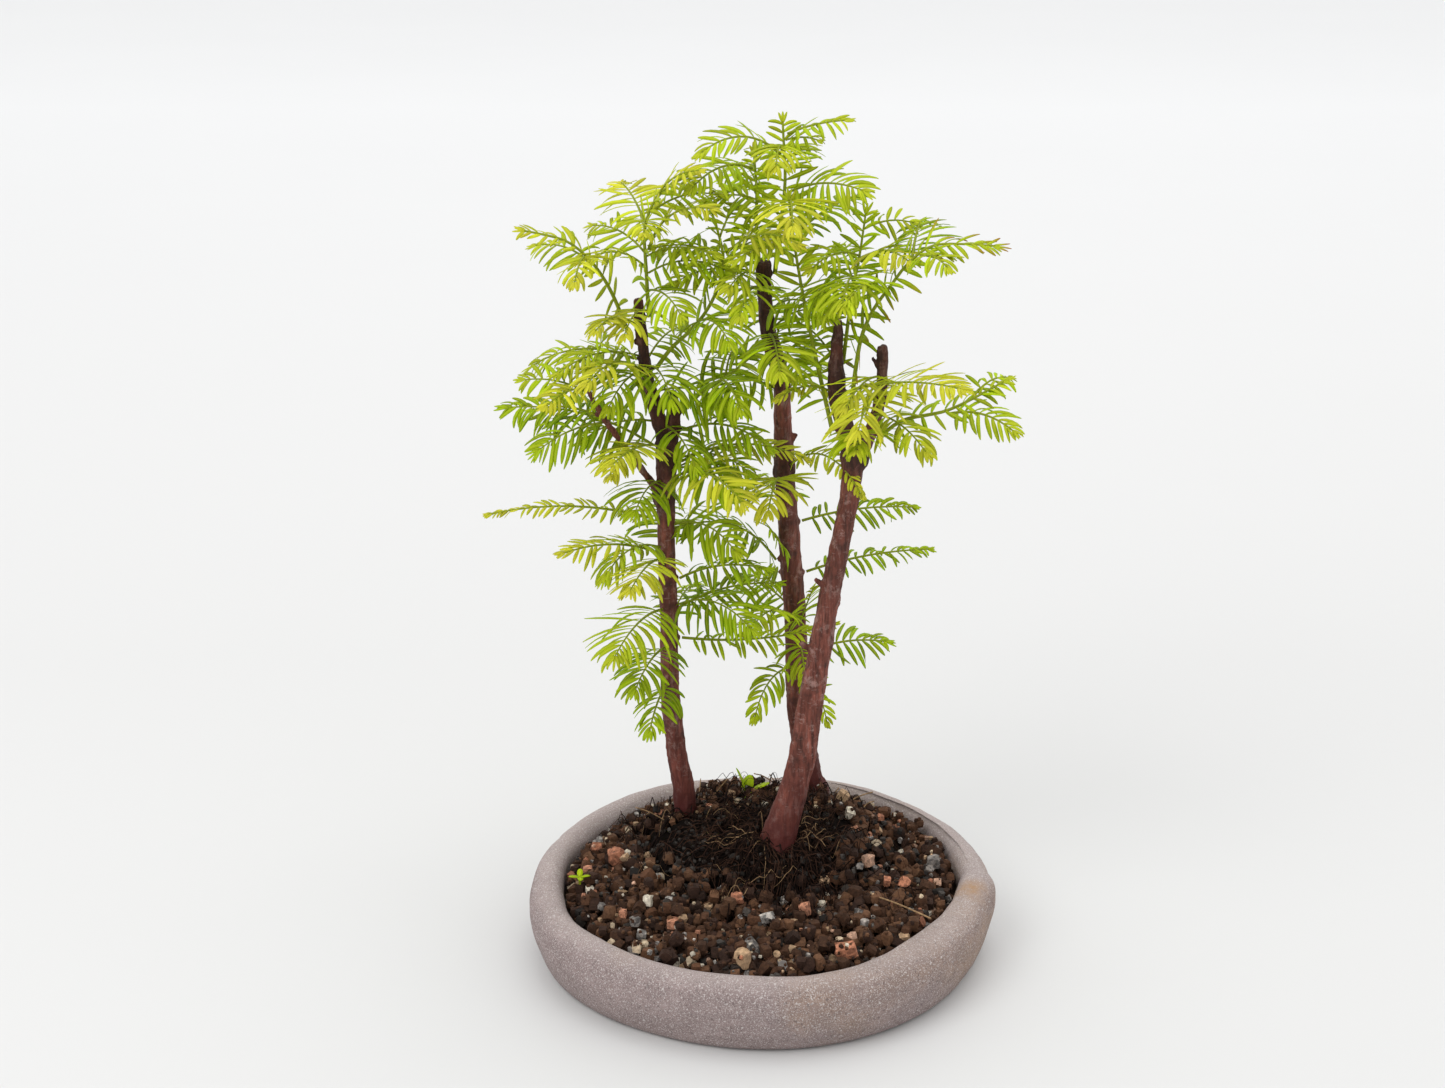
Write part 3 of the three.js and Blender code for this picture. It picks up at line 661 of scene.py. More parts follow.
def lump_templates(rng, count, roundness, rough):
    """A few different crumbs of a few dozen faces each, about one unit in radius."""
    templates = []
    for _ in range(count):
        bm = bmesh.new()
        bmesh.ops.create_cube(bm, size=2)
        bmesh.ops.subdivide_edges(bm, edges=bm.edges[:], cuts=1, use_grid_fill=True)
        squeeze = Vector(rng.uniform(0.75, 1.15) for _ in range(3))
        for vert in bm.verts:
            ball = vert.co.normalized()
            corner = vert.co.lerp(ball, roundness) * (1 - rough / 2 + rough * rng.random())
            vert.co = Vector(a * b for a, b in zip(corner, squeeze)) * 0.85
        templates.append(mesh_of(bm, "lump"))
    return templates


AKADAMA = [(0.085, 0.038, 0.019), (0.055, 0.025, 0.013), (0.12, 0.058, 0.03), (0.034, 0.016, 0.01)]
# Each kind of grain: its share of all, its tones, its size in mm, and how mottled it is.
GRAIN_KINDS = {
    "akadama": (0.72, AKADAMA, (3.2, 6.4), 0.0),
    "dark_stone": (0.1, [(0.03, 0.023, 0.019), (0.055, 0.048, 0.043), (0.015, 0.012, 0.01)], (2.4, 4.8), 0.2),
    "grey_stone": (0.06, [(0.26, 0.24, 0.225), (0.4, 0.375, 0.35), (0.17, 0.155, 0.145)], (2.2, 4.4), 0.8),
    "pumice": (0.08, [(0.55, 0.44, 0.31), (0.62, 0.56, 0.46), (0.42, 0.28, 0.17)], (2.2, 4.4), 0.3),
    "granite": (0.04, [(0.45, 0.21, 0.13), (0.4, 0.17, 0.1), (0.5, 0.31, 0.22)], (2.4, 4.8), 0.5),
}
# Large single stones that catch the eye: place in mm, size, kind.
LANDMARKS = [
    (30, -57, 8.5, "granite"), (-7, -64, 7.5, "pumice"), (-45, -53, 5, "pumice"), (7, -63, 5.2, "grey_stone"),
    (-4, -55, 6, "grey_stone"), (54, -8, 6, "granite"), (-55, 12, 7, "granite"), (-63, 17, 6, "granite"),
    (-51, -30, 4.5, "granite"), (-42, -24, 5, "pumice"), (16, -29, 5.5, "granite"), (-9, -27, 5, "granite"),
    (66, 5, 5.5, "grey_stone"), (2, -40, 6, "grey_stone"), (-64, -9, 4.5, "pumice"), (33, 40, 5, "pumice"),
    (35, 27, 5, "pumice"), (-59, -46, 3.5, "granite"),
]


def add_grain(bm, template, rng, centre, radius, tone, mottled):
    tumble = Matrix.Rotation(rng.uniform(0, 6.3), 3, rng.choice("XYZ"))
    turn = tumble @ Matrix.Rotation(rng.uniform(0, 6.3), 3, "Z")
    corners = add_copy(bm, template, lambda co: turn @ co * radius + centre)
    tones, mottles = bm.verts.layers.float_color["tone"], bm.verts.layers.float["mottled"]
    for corner in corners:
        corner[tones], corner[mottles] = (*tone, 1), mottled


def grain_bmesh():
    """An empty bmesh with the grains' attributes."""
    bm = bmesh.new()
    bm.verts.layers.float_color.new("tone")
    bm.verts.layers.float.new("mottled")
    return bm


def scattered_grains(chosen, ground):
    """Drops the grains, large ones first. Grains of one kind make one piece."""
    rng, bed = random.Random(11), ground.heights.copy()
    names, shares = list(GRAIN_KINDS), [kind[0] for kind in GRAIN_KINDS.values()]
    soft = lump_templates(rng, 6, 0.6, 0.32)
    hard = lump_templates(rng, 6, 0.45, 0.3)
    pieces = {name: grain_bmesh() for name in names}

    def lay(x, y, size, name):
        _, tones, _, mottled = GRAIN_KINDS[name]
        radius = size / 2 * MM
        centre = Vector((x, y, ground.drop(x, y, 0.85 * radius)))
        lightness = rng.uniform(0.7, 1.25)
        tone = [lightness * channel for channel in rng.choice(tones)]
        template = rng.choice(soft if name == "akadama" else hard)
        add_grain(pieces[name], template, rng, centre, radius, tone, mottled)

    def anywhere(margin):
        """A chance place that is a margin or more inside the wall."""
        turn, out = rng.uniform(-math.pi, math.pi), math.sqrt(rng.random())
        reach = out * (inner_edge(turn) - margin)
        return reach * math.cos(turn), reach * math.sin(turn)

    def barest(margin):
        """The barest of a few places, so that the grains lie evenly and leave the peat open in front."""
        best = None
        for _ in range(7):
            x, y = anywhere(margin)
            ragged = 0.45 * noise.noise(Vector((x, y, 0)) / (8 * MM))
            peaty = mound_share(x, y) + ragged - max(0, x - 20 * MM) / (20 * MM)
            laid = ground.height(x, y) - float(bed[ground.cell_of(x, y)])
            laid += 1.2 * MM if mound_share(x, y) > 0.1 else 0
            if peaty > (0.3 if y < OPEN_PEAT else 1.02):
                laid += (6 + 4 * rng.random()) * MM
            if best is None or laid < best[0]:
                best = (laid, x, y)
        return best[1:]

    for _ in range(chosen.grains):
        name = rng.choices(names, shares)[0]
        size = rng.uniform(*GRAIN_KINDS[name][2])
        x, y = barest(0.55 * size * MM)
        lay(x, y, 0.8 * size if y > FINE_SOIL else size, name)
    for x, y, size, name in LANDMARKS:
        lay(x * MM, y * MM, size, name)
    for _ in range(chosen.fines):
        size = rng.uniform(0.9, 2.1)
        x, y = anywhere(size * MM)
        on_peat = mound_share(x, y) > 0.1 and y < OPEN_PEAT
        lay(x, y, size, "dark_stone" if on_peat else rng.choices(names, shares)[0])
    material = grain_material()
    for name, bm in pieces.items():
        finished(f"grains_{name}", mesh_of(bm, name), [material], sharp=30)


def mound_share(x, y):
    """1 in the middle of the root mound, 0 at its edge and beyond."""
    middle, half = (MOUND_LOW + MOUND_HIGH) / 2, (MOUND_HIGH - MOUND_LOW) / 2
    away = math.hypot((x - middle.x) / half.x, (y - middle.y) / half.y)
    return min(max(1 - away, 0) * 2.2, 1)


def build_soil(chosen):
    """Packed soil under, the peat mound round the trunks, then the loose grains and the roots on top."""
    soil = remeshed("soil", merged_copy("soil_bed"), 1.3 * MM, 2)
    soil.normal_update()
    for vert in soil.verts:
        lift = 0.6 * noise.noise(vert.co / (4 * MM)) * MM
        vert.co.z += max(vert.normal.z, 0) * (lift - chosen.settle)
    peat = remeshed("peat", merged_copy("root_ball"), 1.0 * MM, 3)
    peat.normal_update()
    for vert in peat.verts:
        crumbs = 2.4 * noise.noise(vert.co / (7 * MM)) + 1.9 * noise.noise(vert.co / (2.6 * MM)) - 0.6
        vert.co += vert.normal * crumbs * MM
        vert.co.z += HEAP_HEIGHT * math.exp(-(((vert.co.xy - HEAP).length / HEAP_WIDTH) ** 2))
    ground = Ground(DISH_RADIUS)
    ground.add_surface(soil)
    ground.add_surface(peat)
    ground.fill()
    earth = earth_material("packed_soil", (0.02, 0.011, 0.007))
    finished("packed_soil", mesh_of(soil, "packed_soil"), [earth], ["soil_bed"])
    peat_look = earth_material("peat", chosen.peat)
    finished("peat_mound", mesh_of(peat, "peat_mound"), [peat_look], ["root_ball"])
    scattered_grains(chosen, ground)
    build_roots(chosen, ground)


def root_strand(rng, ground, start, turn, length, radius, hump):
    """A root that wanders over the ground and rises off it in a low hump."""
    x, y = start
    points = []
    count = max(4, round(length / 2.2))
    for step in range(count + 1):
        share = step / count
        over = hump * math.sin(share * math.pi) - 0.3 + rng.uniform(0, 0.3)
        z = ground.height(x * MM, y * MM) + over * MM
        thin = 1 - 0.55 * share
        points.append((Vector((x * MM, y * MM, z)), radius * thin * MM))
        turn += rng.gauss(0, 0.34)
        x += 2.2 * math.cos(turn)
        y += 2.2 * math.sin(turn)
    return smoothed(points)


def smoothed(points):
    """The same strand as a smooth curve. Points are pairs of a place and a radius."""
    spine = Spine([point for point, _ in points], steps=2)
    last = len(spine.points) - 1
    return [(point, points[round(i / last * (len(points) - 1))][1]) for i, point in enumerate(spine.points)]


# Feet of the three trunks in mm, where the thickest roots start. The front trunk's is the last.
TRUNK_FEET = [(-29, 33), (22, 52), (5, 2)]
ROOT_LIMIT = 64  # fine roots start within this distance of the dish's middle, in mm
PALE_EVERY = 24  # one fine root in this many is pale, and every other one of the rest is brown
ROOT_TONES = {
    "dark_roots": (0.01, 0.0045, 0.003),
    "brown_roots": (0.055, 0.026, 0.016),
    "pale_roots": (0.3, 0.19, 0.1),
}
# Long straws that lie on the soil or stand up from it: foot, bearing, rise, length, radius in mm.
STRAWS = [
    ((40, -18), -52, 6, 34, 0.32), ((8, 58), 160, 20, 11, 0.22), ((30, 58), 70, 30, 9, 0.24),
    ((24, 60), 130, 42, 9, 0.22), ((34, 54), 15, 18, 13, 0.25), ((-20, 40), 30, 42, 12, 0.2),
    ((-36, 28), 190, 30, 14, 0.22), ((-24, 44), 80, 50, 9, 0.2), ((16, 56), 200, 14, 12, 0.22),
    ((10, 58), 140, 45, 10, 0.2), ((40, 50), 40, 20, 9, 0.22),
]


def build_roots(chosen, ground):
    """Fine roots round the trunks, thick ones at their feet, and a few pale straws."""
    rng = random.Random(5)
    dark, brown, pale = [], [], []
    for index in range(chosen.roots):
        foot = TRUNK_FEET[-1] if rng.random() < 0.45 else rng.choice(TRUNK_FEET)
        turn = rng.uniform(-math.pi, math.pi)
        away = abs(rng.gauss(0, 18)) + 4
        start = (foot[0] + away * math.cos(turn), foot[1] + 0.8 * away * math.sin(turn))
        if math.hypot(*start) > ROOT_LIMIT:
            continue
        is_pale = index % PALE_EVERY == 0
        radius = rng.uniform(0.1, 0.19) if is_pale or index % 2 else rng.uniform(0.12, 0.32)
        strand = root_strand(
            rng, ground, start, turn + rng.gauss(0, 0.9), rng.uniform(7, 26), radius, rng.uniform(0, 5)
        )
        (pale if is_pale else brown if index % 2 else dark).append(strand)
    for foot_x, foot_y in TRUNK_FEET:
        for _ in range(6):
            turn = rng.uniform(-math.pi, math.pi)
            start = (foot_x + 5 * math.cos(turn), foot_y + 5 * math.sin(turn))
            length, radius = rng.uniform(14, 26), rng.uniform(0.5, 0.9)
            dark.append(root_strand(rng, ground, start, turn, length, radius, 1.2))
    for (x, y), bearing, rise, length, radius in STRAWS:
        foot = Vector((x * MM, y * MM, ground.height(x * MM, y * MM)))
        tip = foot + heading(bearing, rise) * length * MM
        bow = foot.lerp(tip, 0.5) + Vector((rng.uniform(-1, 1), rng.uniform(-1, 1), 1.2)) * MM
        spine = Spine([foot, bow, tip], steps=5)
        pale.append([(point, radius * MM) for point in spine.points])
    for (name, colour), strands in zip(ROOT_TONES.items(), (dark, brown, pale)):
        bm = bmesh.new()
        add_strands(bm, strands)
        finished(name, mesh_of(bm, name), [fibre_material(name, colour)])


# ---------------------------------------------------------------- trunks

# Where the wood is dead and dark: middle in mm and reach.
DEAD_WOOD = {
    "trunk_left": [
        ((-29, 33, 36), 17), ((-34.5, 26, 190), 16), ((-36.5, 26.5, 170), 9), ((-42, 24, 225), 26),
        ((-33, 26, 208), 12),
    ],
    "trunk_back": [((9, 38, 177), 9), ((1, 31, 245), 26), ((6, 34, 216), 12), ((22, 51, 36), 12)],
    "trunk_front": [((33.5, 12, 190), 13), ((27.5, 14, 214), 20), ((43, 9, 222), 18), ((28, 15, 238), 12)],
}
# Pale saw cuts: middle in mm and reach.
SAW_CUTS = {
    "trunk_front": [((27, 16, 240.6), 1.7)], "trunk_left": [((-33, 26, 211.4), 1.3)], "trunk_back": [],
}


def nearness(co, spots):
    """1 in the middle of any of the spots, fading to 0 at its reach."""
    found = [1 - (co / MM - Vector(middle)).length / reach for middle, reach in spots]
    return max([0.0, *found])


def build_trunks(chosen):
    """Each trunk is its CAD solid with the bark raised in upright plates."""
    material = bark_material()
    for node, dead_spots in DEAD_WOOD.items():
        bm = remeshed(node, merged_copy(node), chosen.voxel, 7)
        dead, cut = bm.verts.layers.float.new("dead"), bm.verts.layers.float.new("cut")
        bm.normal_update()
        for vert in bm.verts:
            upright = Vector((vert.co.x, vert.co.y, 0.3 * vert.co.z)) / MM
            plates = noise.noise(upright / 1.7) + 0.5 * noise.noise(upright / 0.8)
            lumps = noise.noise(vert.co / (9 * MM))
            banded = Vector((0.3 * vert.co.x, 0.3 * vert.co.y, vert.co.z)) / (1.6 * MM)
            rings = max(0, noise.noise(banded) - 0.35)
            vert[dead] = min(1, 1.6 * nearness(vert.co, dead_spots))
            vert[cut] = 1.0 if vert.normal.z > 0.75 and nearness(vert.co, SAW_CUTS[node]) > 0 else 0.0
            rise = 0.25 + 0.75 * plates + 0.8 * lumps + 1.2 * rings
            vert.co += vert.normal * rise * chosen.relief * (1 + 0.5 * vert[dead])
        finished(f"bark_{node}", mesh_of(bm, node), [material], [node])


# ---------------------------------------------------------------- leaves

# The rings of a leaflet from its foot to its tip: where each lies along it, and how wide it is there.
LEAFLET_RINGS = [0, 0.05, 0.16, 0.34, 0.55, 0.76, 0.91, 0.98, 1]
LEAFLET_OUTLINE = [0, 0.36, 0.7, 0.96, 1, 0.86, 0.56, 0.28, 0]


def leaflet_template():
    """A blunt narrow leaflet, one unit long and one unit to each side."""
    bm = bmesh.new()
    bmesh.ops.create_uvsphere(bm, u_segments=6, v_segments=8, radius=1)
    along, across = bm.verts.layers.float.new("along"), bm.verts.layers.float.new("across")
    for name in ("age", "shade", "tip_red", "woody"):
        bm.verts.layers.float.new(name)
    for vert in bm.verts:
        ring = round(math.acos(min(max(-vert.co.z, -1), 1)) / math.pi * 8)
        out = vert.co.xy.length
        wide, thick = (vert.co.x / out, vert.co.y / out) if out > 1e-5 else (0, 0)
        reach, breadth = LEAFLET_RINGS[ring], LEAFLET_OUTLINE[ring]
        vert[along], vert[across] = reach, abs(wide)
        vert.co = Vector((reach, wide * breadth, thick * max(0.35, breadth)))
    bmesh.ops.recalc_face_normals(bm, faces=bm.faces[:])
    return mesh_of(bm, "leaflet")


def leafy_bmesh(template):
    """An empty bmesh with the leaflets' attributes."""
    bm = bmesh.new()
    bm.from_mesh(template)
    bmesh.ops.delete(bm, geom=bm.verts[:], context="VERTS")
    return bm


def add_leaflet(bm, template, foot, along, forward, face, length, half_width, droop, sweep, traits):
    """One leaflet, which sags by droop and curves to the tip of its twig by sweep, both in radians."""
    down = -UP + along * along.z
    down = down.normalized() if down.length > 0.05 else -face
    ahead = (forward - along * forward.dot(along)).normalized()
    thick = 0.16 * MM

    def turned(turn, bend):
        way = along * (math.cos(turn) * math.cos(bend)) + down * math.sin(turn) + ahead * math.sin(bend)
        return way.normalized()

    def place(co):
        turn, bend = droop * co.x, sweep * co.x
        way, mean = turned(turn, bend), turned(turn / 2, bend / 2)
        across = face.cross(way).normalized()
        midrib = foot + mean * length * co.x
        return midrib + across * co.y * half_width + way.cross(across) * co.z * thick

    corners = add_copy(bm, template, place)
    for name, value in traits.items():
        layer = bm.verts.layers.float[name]
        for corner in corners:
            corner[layer] = value


def farthest_pair(corners):
    return max(combinations(corners, 2), key=lambda pair: (pair[0] - pair[1]).length_squared)


class Blade:
    """What a CAD blade says of its spray or shoot: its spine, the way its ranks lie and its half width."""

    def __init__(self, node):
        bm = merged_copy(node)
        corners = [vert.co.copy() for vert in bm.verts]
        bm.free()
        foot, tip = farthest_pair(corners)
        way = (tip - foot).normalized()
        between = [corner for corner in corners if corner is not foot and corner is not tip]
        between.sort(key=lambda corner: (corner - foot).dot(way))
        rings = [between[i : i + 4] for i in range(0, len(between), 4)]
        if (rings[0][0] - foot).dot(way) > (tip - rings[-1][0]).dot(way):
            foot, tip, way, rings = tip, foot, -way, rings[::-1]
        edges = [farthest_pair(ring) for ring in rings]
        centres = [(a + b) / 2 for a, b in edges]
        self.spine = Spine([foot, *centres, tip])
        widest = max(range(len(rings)), key=lambda i: (edges[i][0] - edges[i][1]).length)
        faces = [corner for corner in rings[widest] if corner not in edges[widest]]
        upper = max(faces, key=lambda corner: (corner - centres[widest]).length)
        self.face = (upper - centres[widest]).normalized()
        self.half_width = (edges[widest][0] - edges[widest][1]).length / 2


# Leaflet length along a spray, from its foot to its tip, as a share of the longest.
SPRAY_PROFILE = [0.5, 0.8, 0.97, 1, 0.97, 0.88, 0.74, 0.56, 0.36]
SHOOT_PROFILE = [0.6, 0.85, 1, 1, 0.95, 0.85, 0.7, 0.55, 0.35]
# The longest leaflets of a spray, as a multiple of the half width of its CAD blade.
LEAF_REACH = 1.5
# The way that the leaves turn their upper faces, up and to the front, and how strongly they do.
LIGHT_WAY = Vector((-0.15, -0.75, 0.65)).normalized()
LIGHT_PULL = 1.15
FULL_LENGTH = 11 * MM  # a shorter leaflet is also narrower


def read_profile(profile, share):
    return float(np.interp(share, np.linspace(0, 1, len(profile)), profile))


def add_ranks(
    bm, template, rng, spine, face, reach, chosen, *, age, droop,
    profile=SPRAY_PROFILE, loose=1.0, bare=0.06, red=0.0, lean=(78, 36),
):
    """Two ranks of leaflets along a spine, nearly opposite each other, with a small tuft at the tip.

    The foot of the spine is bare for a share of its length. The pairs stand loose times their usual
    distance apart, and lean away from the spine by the first angle at its foot and the second at its tip.
    """
    pairs = max(4, round(spine.length * (1 - bare) / (loose * chosen.spacing)))
    chord = (spine.points[-1] - spine.points[0]).normalized()
    side = chord.cross(face + LIGHT_WAY * LIGHT_PULL).normalized()
    side.rotate(Matrix.Rotation(rng.gauss(0, 0.15), 3, chord))
    for step in range(pairs):
        for hand in (-1, 1):
            crowded = 1 - (1 - (step + 0.5 + rng.uniform(-0.2, 0.2)) / pairs) ** 1.25
            share = bare + (1 - bare) * crowded
            forward = spine.tangent(share)
            level = (side - forward * side.dot(forward)).normalized()
            normal = level.cross(forward)
            open_angle = math.radians(lean[0] + (lean[1] - lean[0]) * share**1.6 + rng.gauss(0, 5))
            along = forward * math.cos(open_angle) + level * hand * math.sin(open_angle)
            along = (along + normal * rng.gauss(0.1, 0.09)).normalized()
            length = reach * read_profile(profile, share) * rng.uniform(0.8, 1.1)
            twist = Matrix.Rotation(rng.gauss(0, 0.28), 3, along)
            traits = {
                "age": min(max(age + 0.3 * (share - 0.5) + rng.gauss(0, 0.06), 0), 1),
                "shade": min(max(rng.gauss(0.5, 0.2), 0), 1),
                "tip_red": red * rng.random(),
            }
            half_width = chosen.width / 2 * min(1, 0.5 + 0.5 * length / FULL_LENGTH) * rng.uniform(0.88, 1.08)
            add_leaflet(
                bm, template, spine.at(share), along, forward, twist @ normal, length, half_width,
                max(0.02, rng.gauss(droop, 0.3)), rng.gauss(0.25, 0.22), traits,
            )
    tip = spine.at(0.995)
    forward = spine.tangent(0.99)
    level = (side - forward * side.dot(forward)).normalized()
    for turn in (-0.32, 0.05, 0.38):
        along = (forward + level * turn + UP * rng.uniform(-0.1, 0.15)).normalized()
        length = reach * profile[-1] * rng.uniform(0.8, 1.1)
        traits = {"age": min(1, age + 0.2), "shade": 0.6, "tip_red": red}
        face = level.cross(forward)
        add_leaflet(bm, template, tip, along, forward, face, length, 0.3 * chosen.width, 0.1, 0, traits)


def add_twigs(bm, twigs, woody):
    """Adds the twigs after all leaflets. Each is a spine with the radius of its foot and of its tip."""
    first = len(bm.verts)
    strands = []
    for spine, foot_radius, tip_radius in twigs:
        count = max(8, round(spine.length / (3 * MM)))
        shares = [i / count for i in range(count + 1)]
        strands.append([(spine.at(s), foot_radius + (tip_radius - foot_radius) * s) for s in shares])
    add_strands(bm, strands, 1)
    bm.verts.ensure_lookup_table()
    layer = bm.verts.layers.float["woody"]
    for vert in bm.verts[first:]:
        vert[layer] = woody


# Leaf age, and droop in radians, of the sprays of each slot.
SPRAY_LOOKS = {"young_leaf": (0.86, 0.6), "fresh_leaf": (0.55, 0.75), "mature_leaf": (0.26, 0.9)}
# The longest leaflets of each soft shoot in mm, and their age.
SHOOT_LEAVES = {
    "shoot_left_leader": (16, 0.6), "shoot_left_outer": (13, 0.75), "shoot_left_inner": (14, 0.45),
    "shoot_left_stub": (19, 0.4), "shoot_back_leader": (15, 0.55), "shoot_back_second": (13, 0.5),
    "shoot_front_tall": (15, 0.5), "shoot_front_mid": (15, 0.45), "shoot_front_right": (18, 0.42),
    "shoot_fork_right": (14, 0.5),
}
# How red the tips of a shoot's leaflets are.
RED_TIPS = {"shoot_front_right": 0.9, "shoot_back_second": 0.3}


def build_sprays(chosen, looks):
    template = leaflet_template()
    for index, node in enumerate(sorted(name for name in NODES if name.startswith("spray_"))):
        blade, rng = Blade(node), random.Random(100 + index)
        slot = NODES[node].data.materials[0].name
        age, droop = SPRAY_LOOKS[slot]
        bm = leafy_bmesh(template)
        add_ranks(
            bm, template, rng, blade.spine, blade.face, LEAF_REACH * blade.half_width, chosen,
            age=age, droop=droop,
        )
        add_twigs(bm, [(blade.spine, 0.55 * MM, 0.28 * MM)], 0.25 if slot == "mature_leaf" else 0.05)
        finished(node.replace("spray_", "leaves_"), mesh_of(bm, node), looks, [node])


def build_shoots(chosen, looks):
    template = leaflet_template()
    for index, (node, (reach, age)) in enumerate(SHOOT_LEAVES.items()):
        blade, rng = Blade(node), random.Random(300 + index)
        bm = leafy_bmesh(template)
        add_ranks(
            bm, template, rng, blade.spine, blade.face, reach * MM, chosen, age=age, droop=0.6,
            profile=SHOOT_PROFILE, loose=1.45, bare=0.12, red=RED_TIPS.get(node, 0), lean=(82, 42),
        )
        add_twigs(bm, [(blade.spine, 0.85 * MM, 0.4 * MM)], 0.55)
        finished(node.replace("shoot_", "leafy_shoot_"), mesh_of(bm, node), looks, [node])


# Small sprays that have no CAD blade. For the CAD node that they grow on: the place of each one's foot
# in mm, its bearing and rise in degrees, its length, leaflet span and arch in mm, and its age.
TUFTS = {
    "tufts_left": [
        ("shoot_left_leader", [
            ((-44, 20, 238), -107, -5, 26, 28, 4, 0.9), ((-40, 20, 280), -35, 33, 23, 20, 3, 0.9),
            ((-41, 22, 258), -150, 10, 24, 26, 4, 0.8), ((-41, 22, 262), 140, 15, 26, 26, 3, 0.6),
        ]),
        ("shoot_left_inner", [
            ((-17, 18, 268), 66, 26, 18, 22, 2, 0.6), ((-16, 18, 258), -12, 29, 20, 24, 3, 0.7),
            ((-26, 20, 236), -60, 0, 26, 34, 5, 0.4),
        ]),
        ("shoot_left_outer", [((-60, 18, 258), 150, 10, 24, 24, 3, 0.6)]),
        ("shoot_left_stub", [
            ((-18, 23, 214), -70, -5, 26, 34, 5, 0.35), ((-14, 22, 217), 80, 10, 24, 28, 4, 0.35),
        ]),
        ("trunk_left", [
            ((-64, 12, 217), -131, -7, 20, 22, 2, 0.95), ((-63, 12, 215), 172, 10, 23, 24, 2, 0.5),
            ((-57, 16, 203), -164, -19, 25, 32, 2, 0.3), ((-50, 18, 192), -100, -8, 24, 26, 3, 0.85),
            ((-63, 12, 217), 0, 70, 18, 22, 0, 0.4), ((-43, 24, 225), -150, -4, 32, 30, 4, 0.6),
            ((-43, 24, 222), 60, 12, 30, 28, 4, 0.4), ((-37, 25, 178), -111, -11, 24, 38, 3, 0.35),
            ((-36, 26, 182), -40, -6, 30, 34, 5, 0.3), ((-35, 28, 150), 100, 10, 38, 32, 4, 0.3),
            ((-34, 29, 120), 75, 5, 34, 30, 3, 0.3), ((-34, 28, 128), -35, -4, 34, 34, 6, 0.25),
            ((-42, 24, 222), -70, -14, 26, 36, 4, 0.3), ((-40, 25, 212), -20, -8, 28, 36, 4, 0.25),
            ((-42, 24, 220), -120, -20, 24, 34, 3, 0.45), ((-40, 26, 214), 140, -4, 24, 30, 3, 0.25),
        ]),
        ("shoot_left_leader", [
            ((-41, 22, 250), -60, -10, 24, 30, 3, 0.5), ((-40, 22, 272), -90, 5, 22, 26, 3, 0.75),
            ((-40, 20, 276), 20, 10, 26, 24, 3, 0.6), ((-40, 20, 262), -25, 6, 26, 26, 3, 0.55),
        ]),
        ("shoot_left_inner", [((-18, 19, 262), 172, 8, 24, 24, 3, 0.6)]),
        ("trunk_left", [
            ((-40, 25, 200), -165, -12, 26, 30, 3, 0.35), ((-36, 26, 200), -60, -25, 24, 32, 3, 0.3),
            ((-34, 28, 160), -35, -10, 28, 32, 5, 0.45),
        ]),
        ("shoot_left_leader", [((-40, 20, 256), -10, 4, 28, 28, 4, 0.5)]),
        ("trunk_left", [
            ((-36, 26, 152), -140, -12, 26, 34, 5, 0.5), ((-33, 26, 186), -15, -6, 26, 34, 4, 0.35),
        ]),
    ],
    "tufts_back": [
        ("shoot_back_leader", [
            ((8, 29, 302), -20, 3, 12, 16, 1, 0.6), ((5, 30, 298), -96, -3, 25, 30, 4, 0.75),
            ((7, 30, 290), 76, 10, 28, 28, 4, 0.5), ((7, 30, 275), 170, 10, 26, 28, 4, 0.5),
        ]),
        ("shoot_back_second", [((-2, 38, 280), 110, 15, 26, 26, 3, 0.5)]),
        ("trunk_back", [
            ((1, 31, 250), -165, 4, 30, 30, 5, 0.6), ((1, 31, 240), -50, 6, 30, 32, 5, 0.45),
            ((1, 31, 252), -115, 4, 28, 30, 4, 0.65), ((5, 33, 225), -75, -6, 26, 32, 4, 0.4),
            ((5, 30, 233), -20, 21, 22, 24, 3, 0.45), ((3, 32, 232), 100, 10, 34, 30, 4, 0.3),
            ((7, 36, 205), 60, 8, 36, 30, 4, 0.3), ((7, 36, 210), -150, -2, 26, 34, 5, 0.45),
            ((9, 38, 180), -53, -2, 41, 16, 9, 0.8), ((10, 41, 160), 110, 5, 34, 30, 3, 0.3),
            ((12, 43, 142), -131, 50, 18, 22, 0, 0.35), ((14, 46, 112), -71, 54, 24, 20, 0, 0.5),
            ((14, 46, 116), -120, 10, 34, 26, 6, 0.6), ((14, 47, 106), -85, -10, 24, 26, 5, 0.5),
            ((15, 47, 98), -127, -28, 28, 20, 6, 0.45), ((15, 47, 94), -60, -35, 22, 16, 4, 0.5),
            ((14, 46, 118), 130, 8, 30, 28, 3, 0.3),
        ]),
    ],
    "tufts_front": [
        ("shoot_front_tall", [
            ((12, 16, 279), 0, 13, 14, 18, 1, 0.6), ((12, 17, 262), -150, 4, 24, 28, 4, 0.6),
            ((14, 17, 248), -60, 4, 24, 28, 4, 0.5),
        ]),
        ("shoot_front_mid", [
            ((36, 29, 270), 0, 6, 18, 20, 2, 0.6), ((34, 28, 262), -136, -3, 24, 26, 3, 0.6),
            ((33, 25, 250), 100, 14, 30, 28, 3, 0.4),
        ]),
        ("shoot_front_right", [
            ((44, 7, 253), -130, 0, 22, 26, 4, 0.5), ((52, 5, 262), -60, 4, 20, 22, 3, 0.6),
        ]),
        ("trunk_front", [
            ((21, 11, 214), -147, 0, 22, 16, 3, 0.9), ((27, 15, 225), 120, 14, 32, 30, 3, 0.35),
            ((40, 8, 222), -120, -12, 26, 34, 3, 0.8), ((38, 8, 208), -55, -14, 30, 30, 3, 0.7),
        ]),
        ("shoot_fork_right", [((72, 4, 213), 40, 14, 20, 20, 3, 0.5)]),
    ],
}


